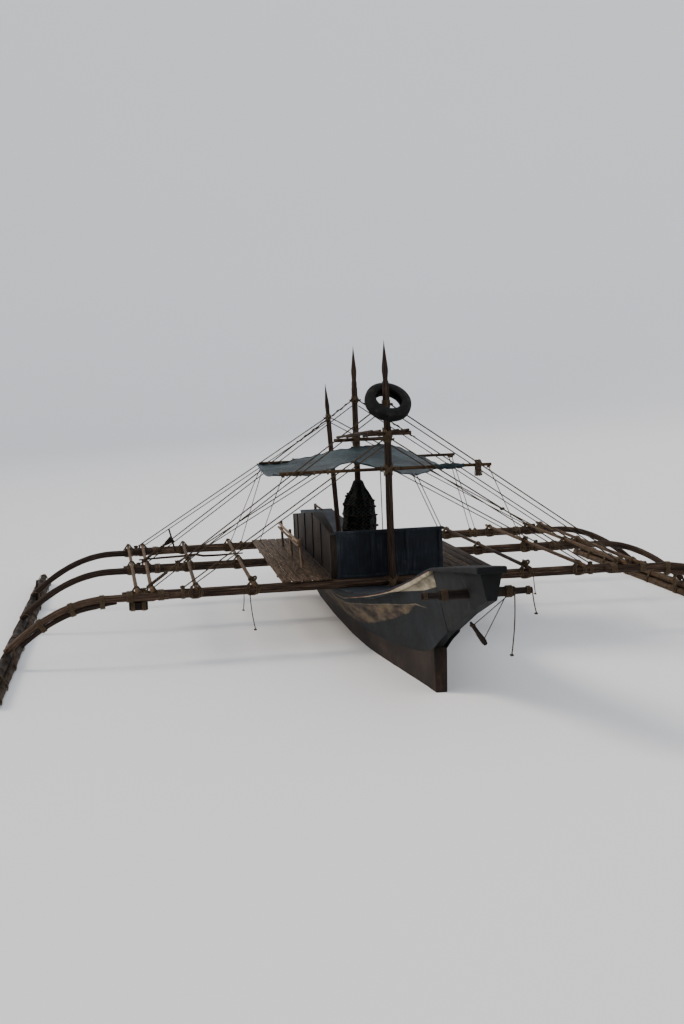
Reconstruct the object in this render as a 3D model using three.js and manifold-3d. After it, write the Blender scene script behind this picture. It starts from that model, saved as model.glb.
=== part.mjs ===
// Double-outrigger canoe with three masts, in millimetres.
// +Z is up, -Y is the bow, +X is starboard; the origin is amidships on the waterline.
import * as THREE from 'three';
import { mergeVertices } from 'three/addons/utils/BufferGeometryUtils.js';
import Module from 'manifold-3d';

const wasm = await Module();
wasm.setup();

// Driving dimensions
const FIT = 0.3;                       // gap between pieces that touch
const BOOM_Z = 760;                    // height of the boom centres over the water
const BOOM_R = 58;
const BOOM_HALF = 3190;
const BOOM_Y = { bow: -2400, mid: 0, aft: 2000 };
const BOOM_TOP = BOOM_Z + BOOM_R + FIT;
const ARM_R = 46;
const ARM_INNER = 2650;                // where an arm starts, beside its boom
const ARM_BEND = 3350;                 // where it starts to curve down
const FLOAT_X = 4550;
const ARM_DROP = 555;
const BAMBOO_R = 55;                   // float bamboos
const FLOAT_Y = [-4500, 4600];
const PLANK = 20;                      // side planking
const BOARD = 20;                      // deck boards
const GUNWALE = 701.7;                 // sheer height under the booms

// Hull stations: y, half breadth and height of the sheer, of the chine and of the keel
const STATIONS = [
  [-5800, 190, 1350, 60, 750, 30, 700],
  [-5450, 212, 1255, 64, 612, 30, 560],
  [-5150, 240, 1160, 70, 470, 40, -220],
  [-4800, 285, 1062, 100, 380, 45, -290],
  [-4400, 335, 960, 150, 330, 60, -320],
  [-3800, 420, 830, 225, 290, 80, -340],
  [-3200, 505, 745, 300, 265, 95, -350],
  [-2550, 600, GUNWALE, 365, 250, 105, -350],
  [-1600, 655, GUNWALE, 410, 245, 115, -350],
  [0, 670, GUNWALE, 425, 240, 120, -350],
  [1600, 645, GUNWALE, 405, 245, 115, -350],
  [2150, 610, GUNWALE, 380, 250, 110, -345],
  [3000, 500, 760, 290, 275, 95, -335],
  [3700, 375, 850, 180, 320, 70, -320],
  [4250, 270, 935, 80, 400, 45, -300],
].map(([y, sheer, sheerZ, chine, chineZ, keel, keelZ]) => (
  { y, sheer, sheerZ, chine, chineZ, keel, keelZ }));
const LOG_BOW = -5150;
const STERN_Y = 4250;
const TRANSOM_Y = 4650;
const NOSE_Y = -7350;

// Masts: y of the axis, foot height, tip height, radius at the foot, lean of the tip to port
const MASTS = {
  bow: { y: -2504, foot: 722, tip: 3628, r: 46, lean: 0 },
  mid: { y: -103, foot: 100.4, tip: 3620, r: 44, lean: 0 },
  aft: { y: 1897, foot: 102.6, tip: 3127, r: 40, lean: 130 },
};
const FLOOR_TOP = 100;

// Colours
const COLOURS = {
  bareWood: 0x4a3628, bamboo: 0xa98a5c, navy: 0x1f2630, bowPaint: 0x17191c,
  brownPaint: 0x6b4634, cream: 0xcfc3a6, tarp: 0x5d7f86, rubber: 0x141414,
  rope: 0x7b6a50, net: 0x23282a, steel: 0x6f6f6c, bronze: 0x8f6f3e, deck: 0x5a4636,
};

const group = new THREE.Group();

function add(name, geometry, colour, roughness = 0.85, metalness = 0) {
  const material = new THREE.MeshStandardMaterial({ color: colour, roughness, metalness });
  const mesh = new THREE.Mesh(geometry, material);
  mesh.name = name;
  group.add(mesh);
  return mesh;
}

// Solids as manifolds, for cuts and joins
function solid(geometry) {
  const bare = geometry.clone();
  bare.deleteAttribute('normal');
  bare.deleteAttribute('uv');
  const merged = mergeVertices(bare, 1e-3);
  return new wasm.Manifold(new wasm.Mesh({
    numProp: 3,
    vertProperties: new Float32Array(merged.attributes.position.array),
    triVerts: new Uint32Array(merged.index.array),
  }));
}

function shape(manifold) {
  const mesh = manifold.getMesh();
  const geometry = new THREE.BufferGeometry();
  geometry.setAttribute('position', new THREE.BufferAttribute(mesh.vertProperties, 3));
  geometry.setIndex(new THREE.BufferAttribute(mesh.triVerts, 1));
  return geometry;
}

function union(...geometries) {
  return shape(geometries.map(solid).reduce((a, b) => a.add(b)));
}

function cut(geometry, ...tools) {
  return shape(tools.reduce((a, tool) => a.subtract(solid(tool)), solid(geometry)));
}

// A closed skin over sections of equal point count, with the given triangles as its end caps
function skin(sections, cap) {
  const count = sections[0].length;
  const positions = sections.flatMap((section) => section.flatMap((p) => [p.x, p.y, p.z]));
  const index = [];
  for (let s = 0; s < sections.length - 1; s += 1) {
    for (let i = 0; i < count; i += 1) {
      const a = s * count + i;
      const b = s * count + ((i + 1) % count);
      index.push(a, b, b + count, a, b + count, a + count);
    }
  }
  const last = (sections.length - 1) * count;
  for (const [a, b, c] of cap) index.push(a, c, b, last + a, last + b, last + c);
  if (volume(positions, index) < 0) index.reverse();
  const geometry = new THREE.BufferGeometry();
  geometry.setAttribute('position', new THREE.Float32BufferAttribute(positions, 3));
  geometry.setIndex(index);
  return geometry;
}

// Six times the signed volume inside a list of triangles
function volume(positions, index) {
  const corner = (i) => new THREE.Vector3().fromArray(positions, 3 * index[i]);
  let sum = 0;
  for (let i = 0; i < index.length; i += 3) {
    sum += corner(i).dot(corner(i + 1).cross(corner(i + 2)));
  }
  return sum;
}

// A skin over sections that are convex polygons
function loft(sections) {
  const cap = [];
  for (let i = 1; i < sections[0].length - 1; i += 1) cap.push([0, i, i + 1]);
  return skin(sections, cap);
}

const at = (x, y, z) => new THREE.Vector3(x, y, z);

function box(x0, x1, y0, y1, z0, z1) {
  return new THREE.BoxGeometry(x1 - x0, y1 - y0, z1 - z0)
    .translate((x0 + x1) / 2, (y0 + y1) / 2, (z0 + z1) / 2);
}

// A straight round pole from one point to another
function pole(from, to, r0, r1 = r0, sides = 12) {
  const direction = to.clone().sub(from);
  const geometry = new THREE.CylinderGeometry(r1, r0, direction.length(), sides);
  const turn = new THREE.Quaternion().setFromUnitVectors(at(0, 1, 0), direction.clone().normalize());
  const middle = from.clone().add(to).multiplyScalar(0.5);
  return geometry.applyQuaternion(turn).translate(middle.x, middle.y, middle.z);
}

// A bent round pole along a curve
function bentPole(curve, radius, steps, sides = 12) {
  const section = new THREE.Shape();
  for (let i = 0; i < sides; i += 1) {
    const angle = (2 * Math.PI * i) / sides;
    const [u, v] = [radius * Math.cos(angle), radius * Math.sin(angle)];
    if (i === 0) section.moveTo(u, v);
    else section.lineTo(u, v);
  }
  section.closePath();
  return new THREE.ExtrudeGeometry(section, { extrudePath: curve, steps, bevelEnabled: false });
}

// A prism standing on a plan outline, and one lying across on a side outline
function planPrism(points, z0, z1) {
  const outline = new THREE.Shape(points.map(([x, y]) => new THREE.Vector2(x, y)));
  return new THREE.ExtrudeGeometry(outline, { depth: z1 - z0, bevelEnabled: false }).translate(0, 0, z0);
}

function sidePrism(points, x0, x1) {
  const outline = new THREE.Shape(points.map(([y, z]) => new THREE.Vector2(y, z)));
  const geometry = new THREE.ExtrudeGeometry(outline, { depth: x1 - x0, bevelEnabled: false });
  const axes = new THREE.Matrix4().makeBasis(at(0, 1, 0), at(0, 0, 1), at(1, 0, 0));
  return geometry.applyMatrix4(axes).translate(x0, 0, 0);
}

// Keel log: a dug-out trough with solid ends
function logSection(s, inset, lift) {
  const bilge = 0.84 * s.chine;
  const bilgeZ = s.keelZ + 0.36 * (s.chineZ - s.keelZ);
  const half = [
    [s.chine - inset, s.chineZ - FIT + (inset ? 80 : 0)],
    [bilge - inset, bilgeZ],
    [Math.max(s.keel - inset / 3, 15), s.keelZ + lift],
  ];
  const right = half.map(([x, z]) => at(x, s.y, z));
  const left = half.map(([x, z]) => at(-x, s.y, z)).reverse();
  return [...right, ...left];
}

const logStations = STATIONS.filter((s) => s.y >= LOG_BOW);
const dugStations = STATIONS.filter((s) => s.y >= -4400 && s.y <= 3700);
const WALL = 60;
const FLOOR_WALL = 90;
const SHAFT_Z = -150;
const SHAFT_R = 16;
const SHAFT_END = 4110;                // inner end of the propeller shaft
const SHAFT_BORE = SHAFT_R + 0.6;
const shaftBore = pole(at(0, SHAFT_END - 20, SHAFT_Z), at(0, STERN_Y + 10, SHAFT_Z), SHAFT_BORE,
  SHAFT_BORE, 24);
add('keel_log', cut(loft(logStations.map((s) => logSection(s, 0, 0))),
  loft(dugStations.map((s) => logSection(s, WALL, FLOOR_WALL))), shaftBore),
COLOURS.brownPaint);

// Floor boards inside the log, cut to its walls
const FLOOR = { half: 500, fore: -4000, aft: 3400, thick: 22 };
const floorSlab = box(-FLOOR.half, FLOOR.half, FLOOR.fore, FLOOR.aft, FLOOR_TOP - FLOOR.thick, FLOOR_TOP);
const dugSpace = loft(dugStations.map((s) => logSection(s, WALL + FIT, FLOOR_WALL)));
add('floor_boards', shape(solid(floorSlab).intersect(solid(dugSpace))), COLOURS.deck);

// Side planking and gunwale rails, port and starboard
function strip(stations, side, corner) {
  return loft(stations.map((s) => corner(s).map(([x, z]) => at(side * x, s.y, z))));
}
const RAIL_OUT = 38;
const RAIL_DEEP = 50;
for (const [word, side] of [['port', -1], ['starboard', 1]]) {
  add(`side_${word}`, strip(STATIONS, side, (s) => [
    [s.chine, s.chineZ], [s.chine - PLANK, s.chineZ],
    [s.sheer - PLANK, s.sheerZ], [s.sheer, s.sheerZ],
  ]), COLOURS.cream);
  add(`gunwale_${word}`, strip(STATIONS, side, (s) => [
    [s.sheer + FIT, s.sheerZ - RAIL_DEEP], [s.sheer + FIT, s.sheerZ],
    [s.sheer + RAIL_OUT, s.sheerZ], [s.sheer + RAIL_OUT, s.sheerZ - RAIL_DEEP],
  ]), COLOURS.bareWood);
}

// Stem knee between the planks, bow block, cap board and stern block
const STEM_Y = -5800;
const KNEE_HALF = 39;
add('stem_knee', sidePrism([
  [STEM_Y, 751], [-5450, 612.5], [LOG_BOW, 470], [LOG_BOW, 640], [STEM_Y, 900],
], -KNEE_HALF, KNEE_HALF), COLOURS.bowPaint);

function block(rows) {
  return loft(rows.map(([y, top, topZ, low, lowZ]) => [
    at(top, y, topZ), at(low, y, lowZ), at(-low, y, lowZ), at(-top, y, topZ)]));
}
const CROSS_Y = -6800;
const CROSS_Z = 1260;
const CROSS_R = 45;
const CROSS_HALF = 350;
const CROSS_HORN = { r: 31, half: 510 };
const BOW_ROWS = [
  // y, half breadth and height of the top, half breadth and height of the bottom
  [NOSE_Y, 95, 1510, 45, 1275],
  [-6600, 135, 1430, 50, 1040],
  [STEM_Y - FIT, 190, 1340, 60, 750],
];
const CROSS_BORE = CROSS_R + 0.5;
add('bow_block', cut(block(BOW_ROWS),
  pole(at(-CROSS_HALF, CROSS_Y, CROSS_Z), at(CROSS_HALF, CROSS_Y, CROSS_Z), CROSS_BORE, CROSS_BORE, 16)),
COLOURS.bowPaint);
const CAP_OVER = 38;
const capEnd = [NOSE_Y - CAP_OVER, ...BOW_ROWS[0].slice(1)];
const capThick = [60, 60, 45, 30];
add('bow_cap', loft([capEnd, ...BOW_ROWS].map(([y, top, topZ], row) => {
  const half = top + CAP_OVER;
  return [at(half, y, topZ + FIT), at(-half, y, topZ + FIT),
    at(-half, y, topZ + capThick[row]), at(half, y, topZ + capThick[row])];
})), COLOURS.bowPaint);
add('bow_crossbeam', union(
  pole(at(-CROSS_HALF, CROSS_Y, CROSS_Z), at(CROSS_HALF, CROSS_Y, CROSS_Z), CROSS_R, CROSS_R, 16),
  pole(at(-CROSS_HORN.half, CROSS_Y, CROSS_Z), at(CROSS_HORN.half, CROSS_Y, CROSS_Z), CROSS_HORN.r,
    CROSS_HORN.r, 16),
), COLOURS.bareWood);
add('stern_block', block([
  [STERN_Y + FIT, 270, 934.7, 79, 401],
  [TRANSOM_Y, 235, 984.7, 58, 560],
]), COLOURS.bowPaint);

// Decks over the planking, fore and aft
function deck(rows) {
  return loft(rows.map(([y, half, z]) => [at(half, y, z + FIT), at(-half, y, z + FIT),
    at(-half, y, z + BOARD), at(half, y, z + BOARD)]));
}
const DECK_OVER = 30;                  // deck edge past the sheer
const DECK_END = -2459.5;              // aft end of the foredeck, just ahead of the bow boom
const deckRow = (s) => [s.y, s.sheer + DECK_OVER, s.sheerZ];
const foreRows = STATIONS.filter((s) => s.y <= -2550).map(deckRow);
add('foredeck', deck([...foreRows, [DECK_END, 610 + DECK_OVER, GUNWALE]]), COLOURS.deck);
const aftRows = STATIONS.filter((s) => s.y > 2100).map(deckRow);
add('aft_deck', deck([...aftRows, [TRANSOM_Y - 10, 236 + DECK_OVER, 985]]), COLOURS.deck);

// Booms, and the arms that curve down to the floats
function armCurve(side, y) {
  const z = (x) => BOOM_Z - ARM_DROP * (Math.max(0, x - ARM_BEND) / (FLOAT_X - ARM_BEND)) ** 2;
  const xs = [ARM_INNER, ARM_BEND];
  for (let i = 1; i <= 8; i += 1) xs.push(ARM_BEND + ((FLOAT_X - ARM_BEND) * i) / 8);
  const path = new THREE.CurvePath();
  const points = xs.map((x) => at(side * x, y, z(x)));
  for (let i = 0; i < points.length - 1; i += 1) {
    path.add(new THREE.LineCurve3(points[i], points[i + 1]));
  }
  return path;
}
for (const [place, y] of Object.entries(BOOM_Y)) {
  add(`boom_${place}`, pole(at(-BOOM_HALF, y, BOOM_Z), at(BOOM_HALF, y, BOOM_Z), BOOM_R, BOOM_R, 16),
    COLOURS.bareWood);
  const armY = y - BOOM_R - ARM_R - FIT;
  for (const [word, side] of [['port', -1], ['starboard', 1]]) {
    add(`arm_${place}_${word}`, bentPole(armCurve(side, armY), ARM_R, 24), COLOURS.bareWood);
  }
}

// Floats: three bamboos lashed together, two low and one on top
const LOW_Z = 30;
const TOP_Z = LOW_Z + 95;
for (const [word, side] of [['port', -1], ['starboard', 1]]) {
  const canes = [[-54, LOW_Z], [54, LOW_Z], [0, TOP_Z]].map(([dx, z]) => pole(
    at(side * FLOAT_X + dx, FLOAT_Y[0], z), at(side * FLOAT_X + dx, FLOAT_Y[1], z), BAMBOO_R));
  add(`float_${word}`, union(...canes), COLOURS.bamboo);
}

// Long poles over the booms: distance out at the bow and at the aft boom
const POLE_R = 24;
const LONG_POLES = [[1660, 1660], [2330, 2330], [2850, 2925], [3020, 3130]];
LONG_POLES.forEach(([atBow, atAft], row) => {
  const slope = (atAft - atBow) / (BOOM_Y.aft - BOOM_Y.bow);
  const out = (y) => atBow + slope * (y - BOOM_Y.bow);
  const [y0, y1] = [BOOM_Y.bow - 220, BOOM_Y.aft + 220];
  for (const [word, side] of [['port', -1], ['starboard', 1]]) {
    add(`long_pole_${row + 1}_${word}`,
      pole(at(side * out(y0), y0, BOOM_TOP + POLE_R), at(side * out(y1), y1, BOOM_TOP + POLE_R), POLE_R),
      COLOURS.bamboo);
  }
});

// Side decks: planks over the booms, held by battens underneath
const SIDE_DECK = { inner: 712, planks: 5, width: 110, gap: 12, fore: -2480, aft: 2080 };
const BATTENS = [-1800, -600, 700, 1500];
const BATTEN_WIDE = 70;
const BATTEN_DEEP = 25;
for (const [word, side] of [['port', -1], ['starboard', 1]]) {
  const { inner, planks, width, gap, fore, aft } = SIDE_DECK;
  const reach = planks * (width + gap) - gap;
  // a board from one distance outboard to another, on this side of the hull
  const board = (x, wide, y0, y1, z0, z1) => (
    box(side > 0 ? x : -x - wide, side > 0 ? x + wide : -x, y0, y1, z0, z1));
  const boards = [];
  for (let i = 0; i < planks; i += 1) {
    boards.push(board(inner + i * (width + gap), width, fore, aft, BOOM_TOP, BOOM_TOP + BOARD));
  }
  for (const y of BATTENS) {
    boards.push(board(inner, reach, y, y + BATTEN_WIDE, BOOM_TOP - BATTEN_DEEP, BOOM_TOP + 1));
  }
  add(`side_deck_${word}`, union(...boards), COLOURS.deck);
}

// Front bulkhead over the bow boom, with its cap rail
const PANEL = { half: 640, thick: 24, top: 1352 };
const CAP_RAIL = { port: -680, starboard: 660, wide: 60, bottom: 1350, top: 1385 };
add('front_bulkhead', union(
  box(-PANEL.half, PANEL.half, BOOM_Y.bow - PANEL.thick / 2, BOOM_Y.bow + PANEL.thick / 2,
    BOOM_TOP, PANEL.top),
  box(CAP_RAIL.port, CAP_RAIL.starboard, BOOM_Y.bow - CAP_RAIL.wide / 2, BOOM_Y.bow + CAP_RAIL.wide / 2,
    CAP_RAIL.bottom, CAP_RAIL.top),
), COLOURS.navy);

// Side locker: wedge-shaped in plan, highest amidships, hollow and open below
const LOCKER = {
  fore: BOOM_Y.bow + CAP_RAIL.wide / 2 + FIT, aft: 1660, peak: -610, wall: 18,
  outer: -700, innerFore: -640, innerAft: -430,
  topFore: 1350, topPeak: 1460, topAft: 1240,
};
function locker(wall) {
  const foot = wall ? BOOM_TOP - 100 : BOOM_TOP;
  const [fore, aft, outer] = [LOCKER.fore + wall, LOCKER.aft - wall, LOCKER.outer + wall];
  const profile = sidePrism([
    [fore, foot], [aft, foot], [aft, LOCKER.topAft - wall], [LOCKER.peak, LOCKER.topPeak - wall],
    [fore, LOCKER.topFore - wall],
  ], 2 * LOCKER.outer, 0);
  const plan = planPrism([
    [outer, BOOM_Y.bow], [LOCKER.innerFore - wall / 2, BOOM_Y.bow],
    [LOCKER.innerAft - wall, LOCKER.aft + 40], [outer, LOCKER.aft + 40],
  ], foot - 100, 2 * LOCKER.topPeak);
  return shape(solid(profile).intersect(solid(plan)));
}
add('side_locker', cut(locker(0), locker(LOCKER.wall)), COLOURS.navy);

// Engine box in the well, hollow, open below, with the engine as one block inside
const ENGINE_BOX = { half: 260, fore: 700, aft: 1500, top: 640, wall: 15 };
const engineBox = (wall, bottom) => box(-ENGINE_BOX.half + wall, ENGINE_BOX.half - wall,
  ENGINE_BOX.fore + wall, ENGINE_BOX.aft - wall, bottom, ENGINE_BOX.top - wall);
add('engine_box', cut(engineBox(0, FLOOR_TOP + FIT), engineBox(ENGINE_BOX.wall, 0)), COLOURS.navy);
const ENGINE = { half: 150, fore: 850, aft: 1350, top: 500 };
add('engine_block', box(-ENGINE.half, ENGINE.half, ENGINE.fore, ENGINE.aft, FLOOR_TOP + FIT, ENGINE.top),
  COLOURS.steel, 0.6, 0.7);

// Masts with a neck and a carved spear tip: radius and height over the foot, up the mast
const NECK_R = 29;
const TIP = 640;                       // from where the taper ends to the point
function mastProfile(m) {
  const length = m.tip - m.foot;
  return [
    [0, 0], [m.r, 0], [m.r * 0.92, length - TIP], [m.r * 0.86, length - 505],
    [NECK_R, length - 480], [NECK_R, length - 455], [m.r * 0.84, length - 360],
    [m.r * 0.4, length - 150], [0, length],
  ];
}
function mastShape(m) {
  const profile = mastProfile(m).map(([r, z]) => new THREE.Vector2(r, z));
  return new THREE.LatheGeometry(profile, 16).rotateX(Math.PI / 2);
}
// radius of a mast at a height over the water
function mastR(m, z) {
  const rows = mastProfile(m).map(([r, height]) => [r, m.foot + height]);
  const above = rows.findIndex(([, height]) => height > z);
  const [[r0, z0], [r1, z1]] = [rows[above - 1], rows[above]];
  return r0 + ((r1 - r0) * (z - z0)) / (z1 - z0);
}
// x of a leaning mast's axis at a height; it crosses the middle of its boom
const mastX = (m, z) => (-m.lean * (z - BOOM_Z)) / (m.tip - BOOM_Z);
for (const [place, m] of Object.entries(MASTS)) {
  const lean = Math.atan(m.lean / (m.tip - BOOM_Z));
  add(`mast_${place}`, mastShape(m).rotateY(-lean).translate(mastX(m, m.foot), m.y, m.foot),
    COLOURS.bareWood);
}

// Spreader spars lashed to the masts, and the awning between them
const SPAR_R = 22;
const SPAR_Z = BOOM_Z + 1345;
const sparBow = { y: MASTS.bow.y + mastR(MASTS.bow, SPAR_Z) + SPAR_R + FIT, z: SPAR_Z };
const sparMid = { y: MASTS.mid.y - mastR(MASTS.mid, SPAR_Z) - SPAR_R - FIT, z: SPAR_Z };
add('spreader_bow', pole(at(-1290, sparBow.y, sparBow.z), at(1265, sparBow.y, sparBow.z), SPAR_R),
  COLOURS.bamboo);
add('spreader_mid', pole(at(-1330, sparMid.y, sparMid.z), at(1330, sparMid.y, sparMid.z), SPAR_R),
  COLOURS.bamboo);

const AWNING = [
  // x, height over the booms at the front edge and at the back edge
  [-1360, 1345, 1340], [-1040, 1320, 1335], [-700, 1375, 1400], [-400, 1450, 1460],
  [-100, 1370, 1500], [340, 1270, 1525], [600, 1320, 1460], [900, 1345, 1345],
];
const AWNING_THICK = 12;
function awning() {
  const front = new THREE.SplineCurve(AWNING.map(([x, z]) => new THREE.Vector2(x, z)));
  const back = new THREE.SplineCurve(AWNING.map(([x, , z]) => new THREE.Vector2(x, z)));
  const [y0, y1] = [sparBow.y + SPAR_R + FIT, sparMid.y - SPAR_R - FIT];
  const [across, along] = [20, 10];
  const top = (i, j) => {
    const a = front.getPoint(i / across);
    const b = back.getPoint(i / across);
    const v = j / along;
    const sag = 60 * Math.sin(Math.PI * v);
    return [a.x + (b.x - a.x) * v, y0 + (y1 - y0) * v, BOOM_Z + a.y + (b.y - a.y) * v - sag];
  };
  const sections = [];
  for (let j = 0; j <= along; j += 1) {
    const upper = [];
    const lower = [];
    for (let i = 0; i <= across; i += 1) {
      const [x, y, z] = top(i, j);
      upper.push(at(x, y, z));
      lower.unshift(at(x, y, z - AWNING_THICK));
    }
    sections.push([...upper, ...lower]);
  }
  const cap = [];
  for (let i = 0; i < across; i += 1) {
    const under = 2 * across + 1 - i;
    cap.push([i, i + 1, under], [i + 1, under - 1, under]);
  }
  return skin(sections, cap);
}

add('awning', awning(), COLOURS.tarp, 0.7);

// Overhead rack of poles between the bow and middle masts
const RACK_R = 25;
const SLAT_R = 18;
const RACK_Z = { bow: BOOM_Z + 1770, mid: BOOM_Z + 1600 };
const rackBow = { y: MASTS.bow.y - mastR(MASTS.bow, RACK_Z.bow) - RACK_R - FIT, z: RACK_Z.bow };
const rackMid = { y: MASTS.mid.y + mastR(MASTS.mid, RACK_Z.mid) + RACK_R + FIT, z: RACK_Z.mid };
const slats = [[-200, -240], [-105, -110], [110, 120], [230, 330]].map(([x0, x1]) => {
  const lift = RACK_R + SLAT_R - 4;
  return pole(at(x0, rackBow.y - 60, rackBow.z + lift), at(x1, rackMid.y + 60, rackMid.z + lift), SLAT_R,
    SLAT_R, 8);
});
add('overhead_rack', union(
  pole(at(-245, rackBow.y, rackBow.z), at(280, rackBow.y, rackBow.z), RACK_R),
  pole(at(-300, rackMid.y, rackMid.z), at(400, rackMid.y, rackMid.z), RACK_R),
  ...slats,
), COLOURS.bareWood);

// Tyre fender threaded over the bow mast, jammed at a slant between the mast and the stay
const TYRE = { outer: 285, hole: 160, half: 66, wall: 14, x: 18, ahead: 29.9, z: BOOM_Z + 2140 };
const TYRE_SLANT = { pitch: THREE.MathUtils.degToRad(44), roll: THREE.MathUtils.degToRad(11) };
const TREAD = 24;                      // thickness under the tread
const BEAD = { out: 12, deep: 18 };    // bead at the hole: set in from the sidewall, and its thickness
// radius and height of one half of the profile, bead to tread; the inner side follows backwards
const tyreSide = [
  [TYRE.hole, TYRE.half - BEAD.out - BEAD.deep], [TYRE.hole, TYRE.half - BEAD.out],
  [TYRE.hole + 40, TYRE.half], [TYRE.outer - 40, TYRE.half], [TYRE.outer - 8, TYRE.half - 18],
];
const tyreLining = [TYRE.outer - 40, TYRE.half - TYRE.wall - 12];
const tyreProfile = [
  ...tyreSide.map(([r, z]) => [r, -z]), [TYRE.outer, 0], ...[...tyreSide].reverse(),
  tyreLining, [TYRE.outer - TREAD, 0], [tyreLining[0], -tyreLining[1]],
  [TYRE.hole, BEAD.out + BEAD.deep - TYRE.half],
].map(([r, z]) => new THREE.Vector2(r, z));
add('tyre_fender', new THREE.LatheGeometry(tyreProfile, 28).rotateX(Math.PI / 2)
  .rotateX(TYRE_SLANT.pitch).rotateY(TYRE_SLANT.roll)
  .translate(TYRE.x, MASTS.bow.y - TYRE.ahead, TYRE.z), COLOURS.rubber, 0.9);

// Net bundle hung on the middle mast, its foot on the boom
const NET_TOP = BOOM_Z + 1060;
const NET_HOLE = MASTS.mid.r + 0.6;
const netProfile = [
  [NET_HOLE, BOOM_TOP], [205, BOOM_TOP], [232, BOOM_TOP + 160], [238, BOOM_TOP + 380],
  [215, BOOM_TOP + 560], [150, BOOM_TOP + 760], [90, NET_TOP - 70], [62, NET_TOP],
  [NET_HOLE, NET_TOP], [NET_HOLE, BOOM_TOP],
].map(([r, z]) => new THREE.Vector2(r, z));
add('net_bundle', new THREE.LatheGeometry(netProfile, 20).rotateX(Math.PI / 2)
  .translate(0, MASTS.mid.y, 0), COLOURS.net, 0.95);

// Rope stays from the masts to the booms
const STAY_R = 8;
const STAY_LEAD = 16;                  // stays leave their masts a little ahead of the middle
function stay(name, mast, height, place, out) {
  const z = BOOM_Z + height;
  const side = Math.sqrt(mastR(mast, z) ** 2 - STAY_LEAD ** 2);
  const start = at(mastX(mast, z) + Math.sign(out) * side, mast.y - STAY_LEAD, z);
  const foot = at(out, BOOM_Y[place], BOOM_Z + BOOM_R);
  const along = foot.clone().sub(start).normalize();
  const reach = (dot) => STAY_R * Math.sqrt(1 - dot * dot) + FIT;
  start.x += Math.sign(out) * (reach(along.x) + 1.2);
  foot.z += reach(along.z) + 0.1;
  add(name, pole(start, foot, STAY_R, STAY_R, 8), COLOURS.rope);
}
// mast, height of the stay on it, boom, distance out on the boom
const STAYS = [
  ['bow', 2114, 'bow', 2940, 'upper'], ['bow', 1700, 'bow', 2480, 'lower'],
  ['mid', 2130, 'mid', 2985, 'upper'], ['mid', 1500, 'mid', 2480, 'lower'],
  ['aft', 1850, 'aft', 3020, 'upper'],
];
for (const [mast, height, place, out, word] of STAYS) {
  stay(`stay_${place}_${word}_port`, MASTS[mast], height, place, -out);
  stay(`stay_${place}_${word}_starboard`, MASTS[mast], height, place, out);
}

// Rudder on its bracket behind the transom
const STOCK = { y: 4720, r: 24, low: -430, top: 1090 };
const BORE_R = STOCK.r + 0.6;          // running fit of the stock in its gudgeons
const GUDGEONS = [620, 860];
const GUDGEON = { half: 55, over: 60, deep: 30 };
const PLATE = { half: 60, thick: 14, low: 600, top: 930 };
const COLLAR = { z: GUDGEONS[1] + GUDGEON.deep + FIT, r: 44, deep: 30 };
const BLADE = { half: 14, aft: 5060, top: 130 };
const TILLER = { half: 20, fore: 3880, low: 1045, top: 1085 };
const gudgeon = (z) => box(-GUDGEON.half, GUDGEON.half, TRANSOM_Y + 2, STOCK.y + GUDGEON.over, z,
  z + GUDGEON.deep);
add('rudder_bracket', cut(union(
  box(-PLATE.half, PLATE.half, TRANSOM_Y + FIT, TRANSOM_Y + PLATE.thick, PLATE.low, PLATE.top),
  ...GUDGEONS.map(gudgeon)),
pole(at(0, STOCK.y, PLATE.low), at(0, STOCK.y, PLATE.top), BORE_R, BORE_R, 24)), COLOURS.steel, 0.6, 0.6);
add('rudder', union(
  pole(at(0, STOCK.y, STOCK.low), at(0, STOCK.y, STOCK.top), STOCK.r, STOCK.r, 16),
  pole(at(0, STOCK.y, COLLAR.z), at(0, STOCK.y, COLLAR.z + COLLAR.deep), COLLAR.r, COLLAR.r, 16),
  box(-BLADE.half, BLADE.half, STOCK.y + 10, BLADE.aft, STOCK.low, BLADE.top),
  box(-TILLER.half, TILLER.half, TILLER.fore, STOCK.y + 30, TILLER.low, TILLER.top),
), COLOURS.bareWood);

// Propeller and its shaft, running in the bore of the keel log
const PROP_Y = 4375;
const HUB = { fore: -30, aft: 42, r: 34, rAft: 26 };
const PROP_BLADE = { wide: 60, thick: 8, long: 125, middle: 87, pitch: THREE.MathUtils.degToRad(28) };
const blades = [0, 1, 2].map((i) => (
  new THREE.BoxGeometry(PROP_BLADE.wide, PROP_BLADE.thick, PROP_BLADE.long)
    .rotateZ(PROP_BLADE.pitch).translate(0, 0, PROP_BLADE.middle)
    .rotateY((2 * Math.PI * i) / 3).translate(0, PROP_Y, SHAFT_Z)));
add('propeller', union(
  pole(at(0, SHAFT_END, SHAFT_Z), at(0, PROP_Y, SHAFT_Z), SHAFT_R, SHAFT_R, 16),
  pole(at(0, PROP_Y + HUB.fore, SHAFT_Z), at(0, PROP_Y + HUB.aft, SHAFT_Z), HUB.r, HUB.rAft, 16),
  ...blades,
), COLOURS.bronze, 0.45, 0.9);

export default group;
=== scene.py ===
import math
import random

import bmesh
import bpy
from mathutils import Matrix, Vector, noise


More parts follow.
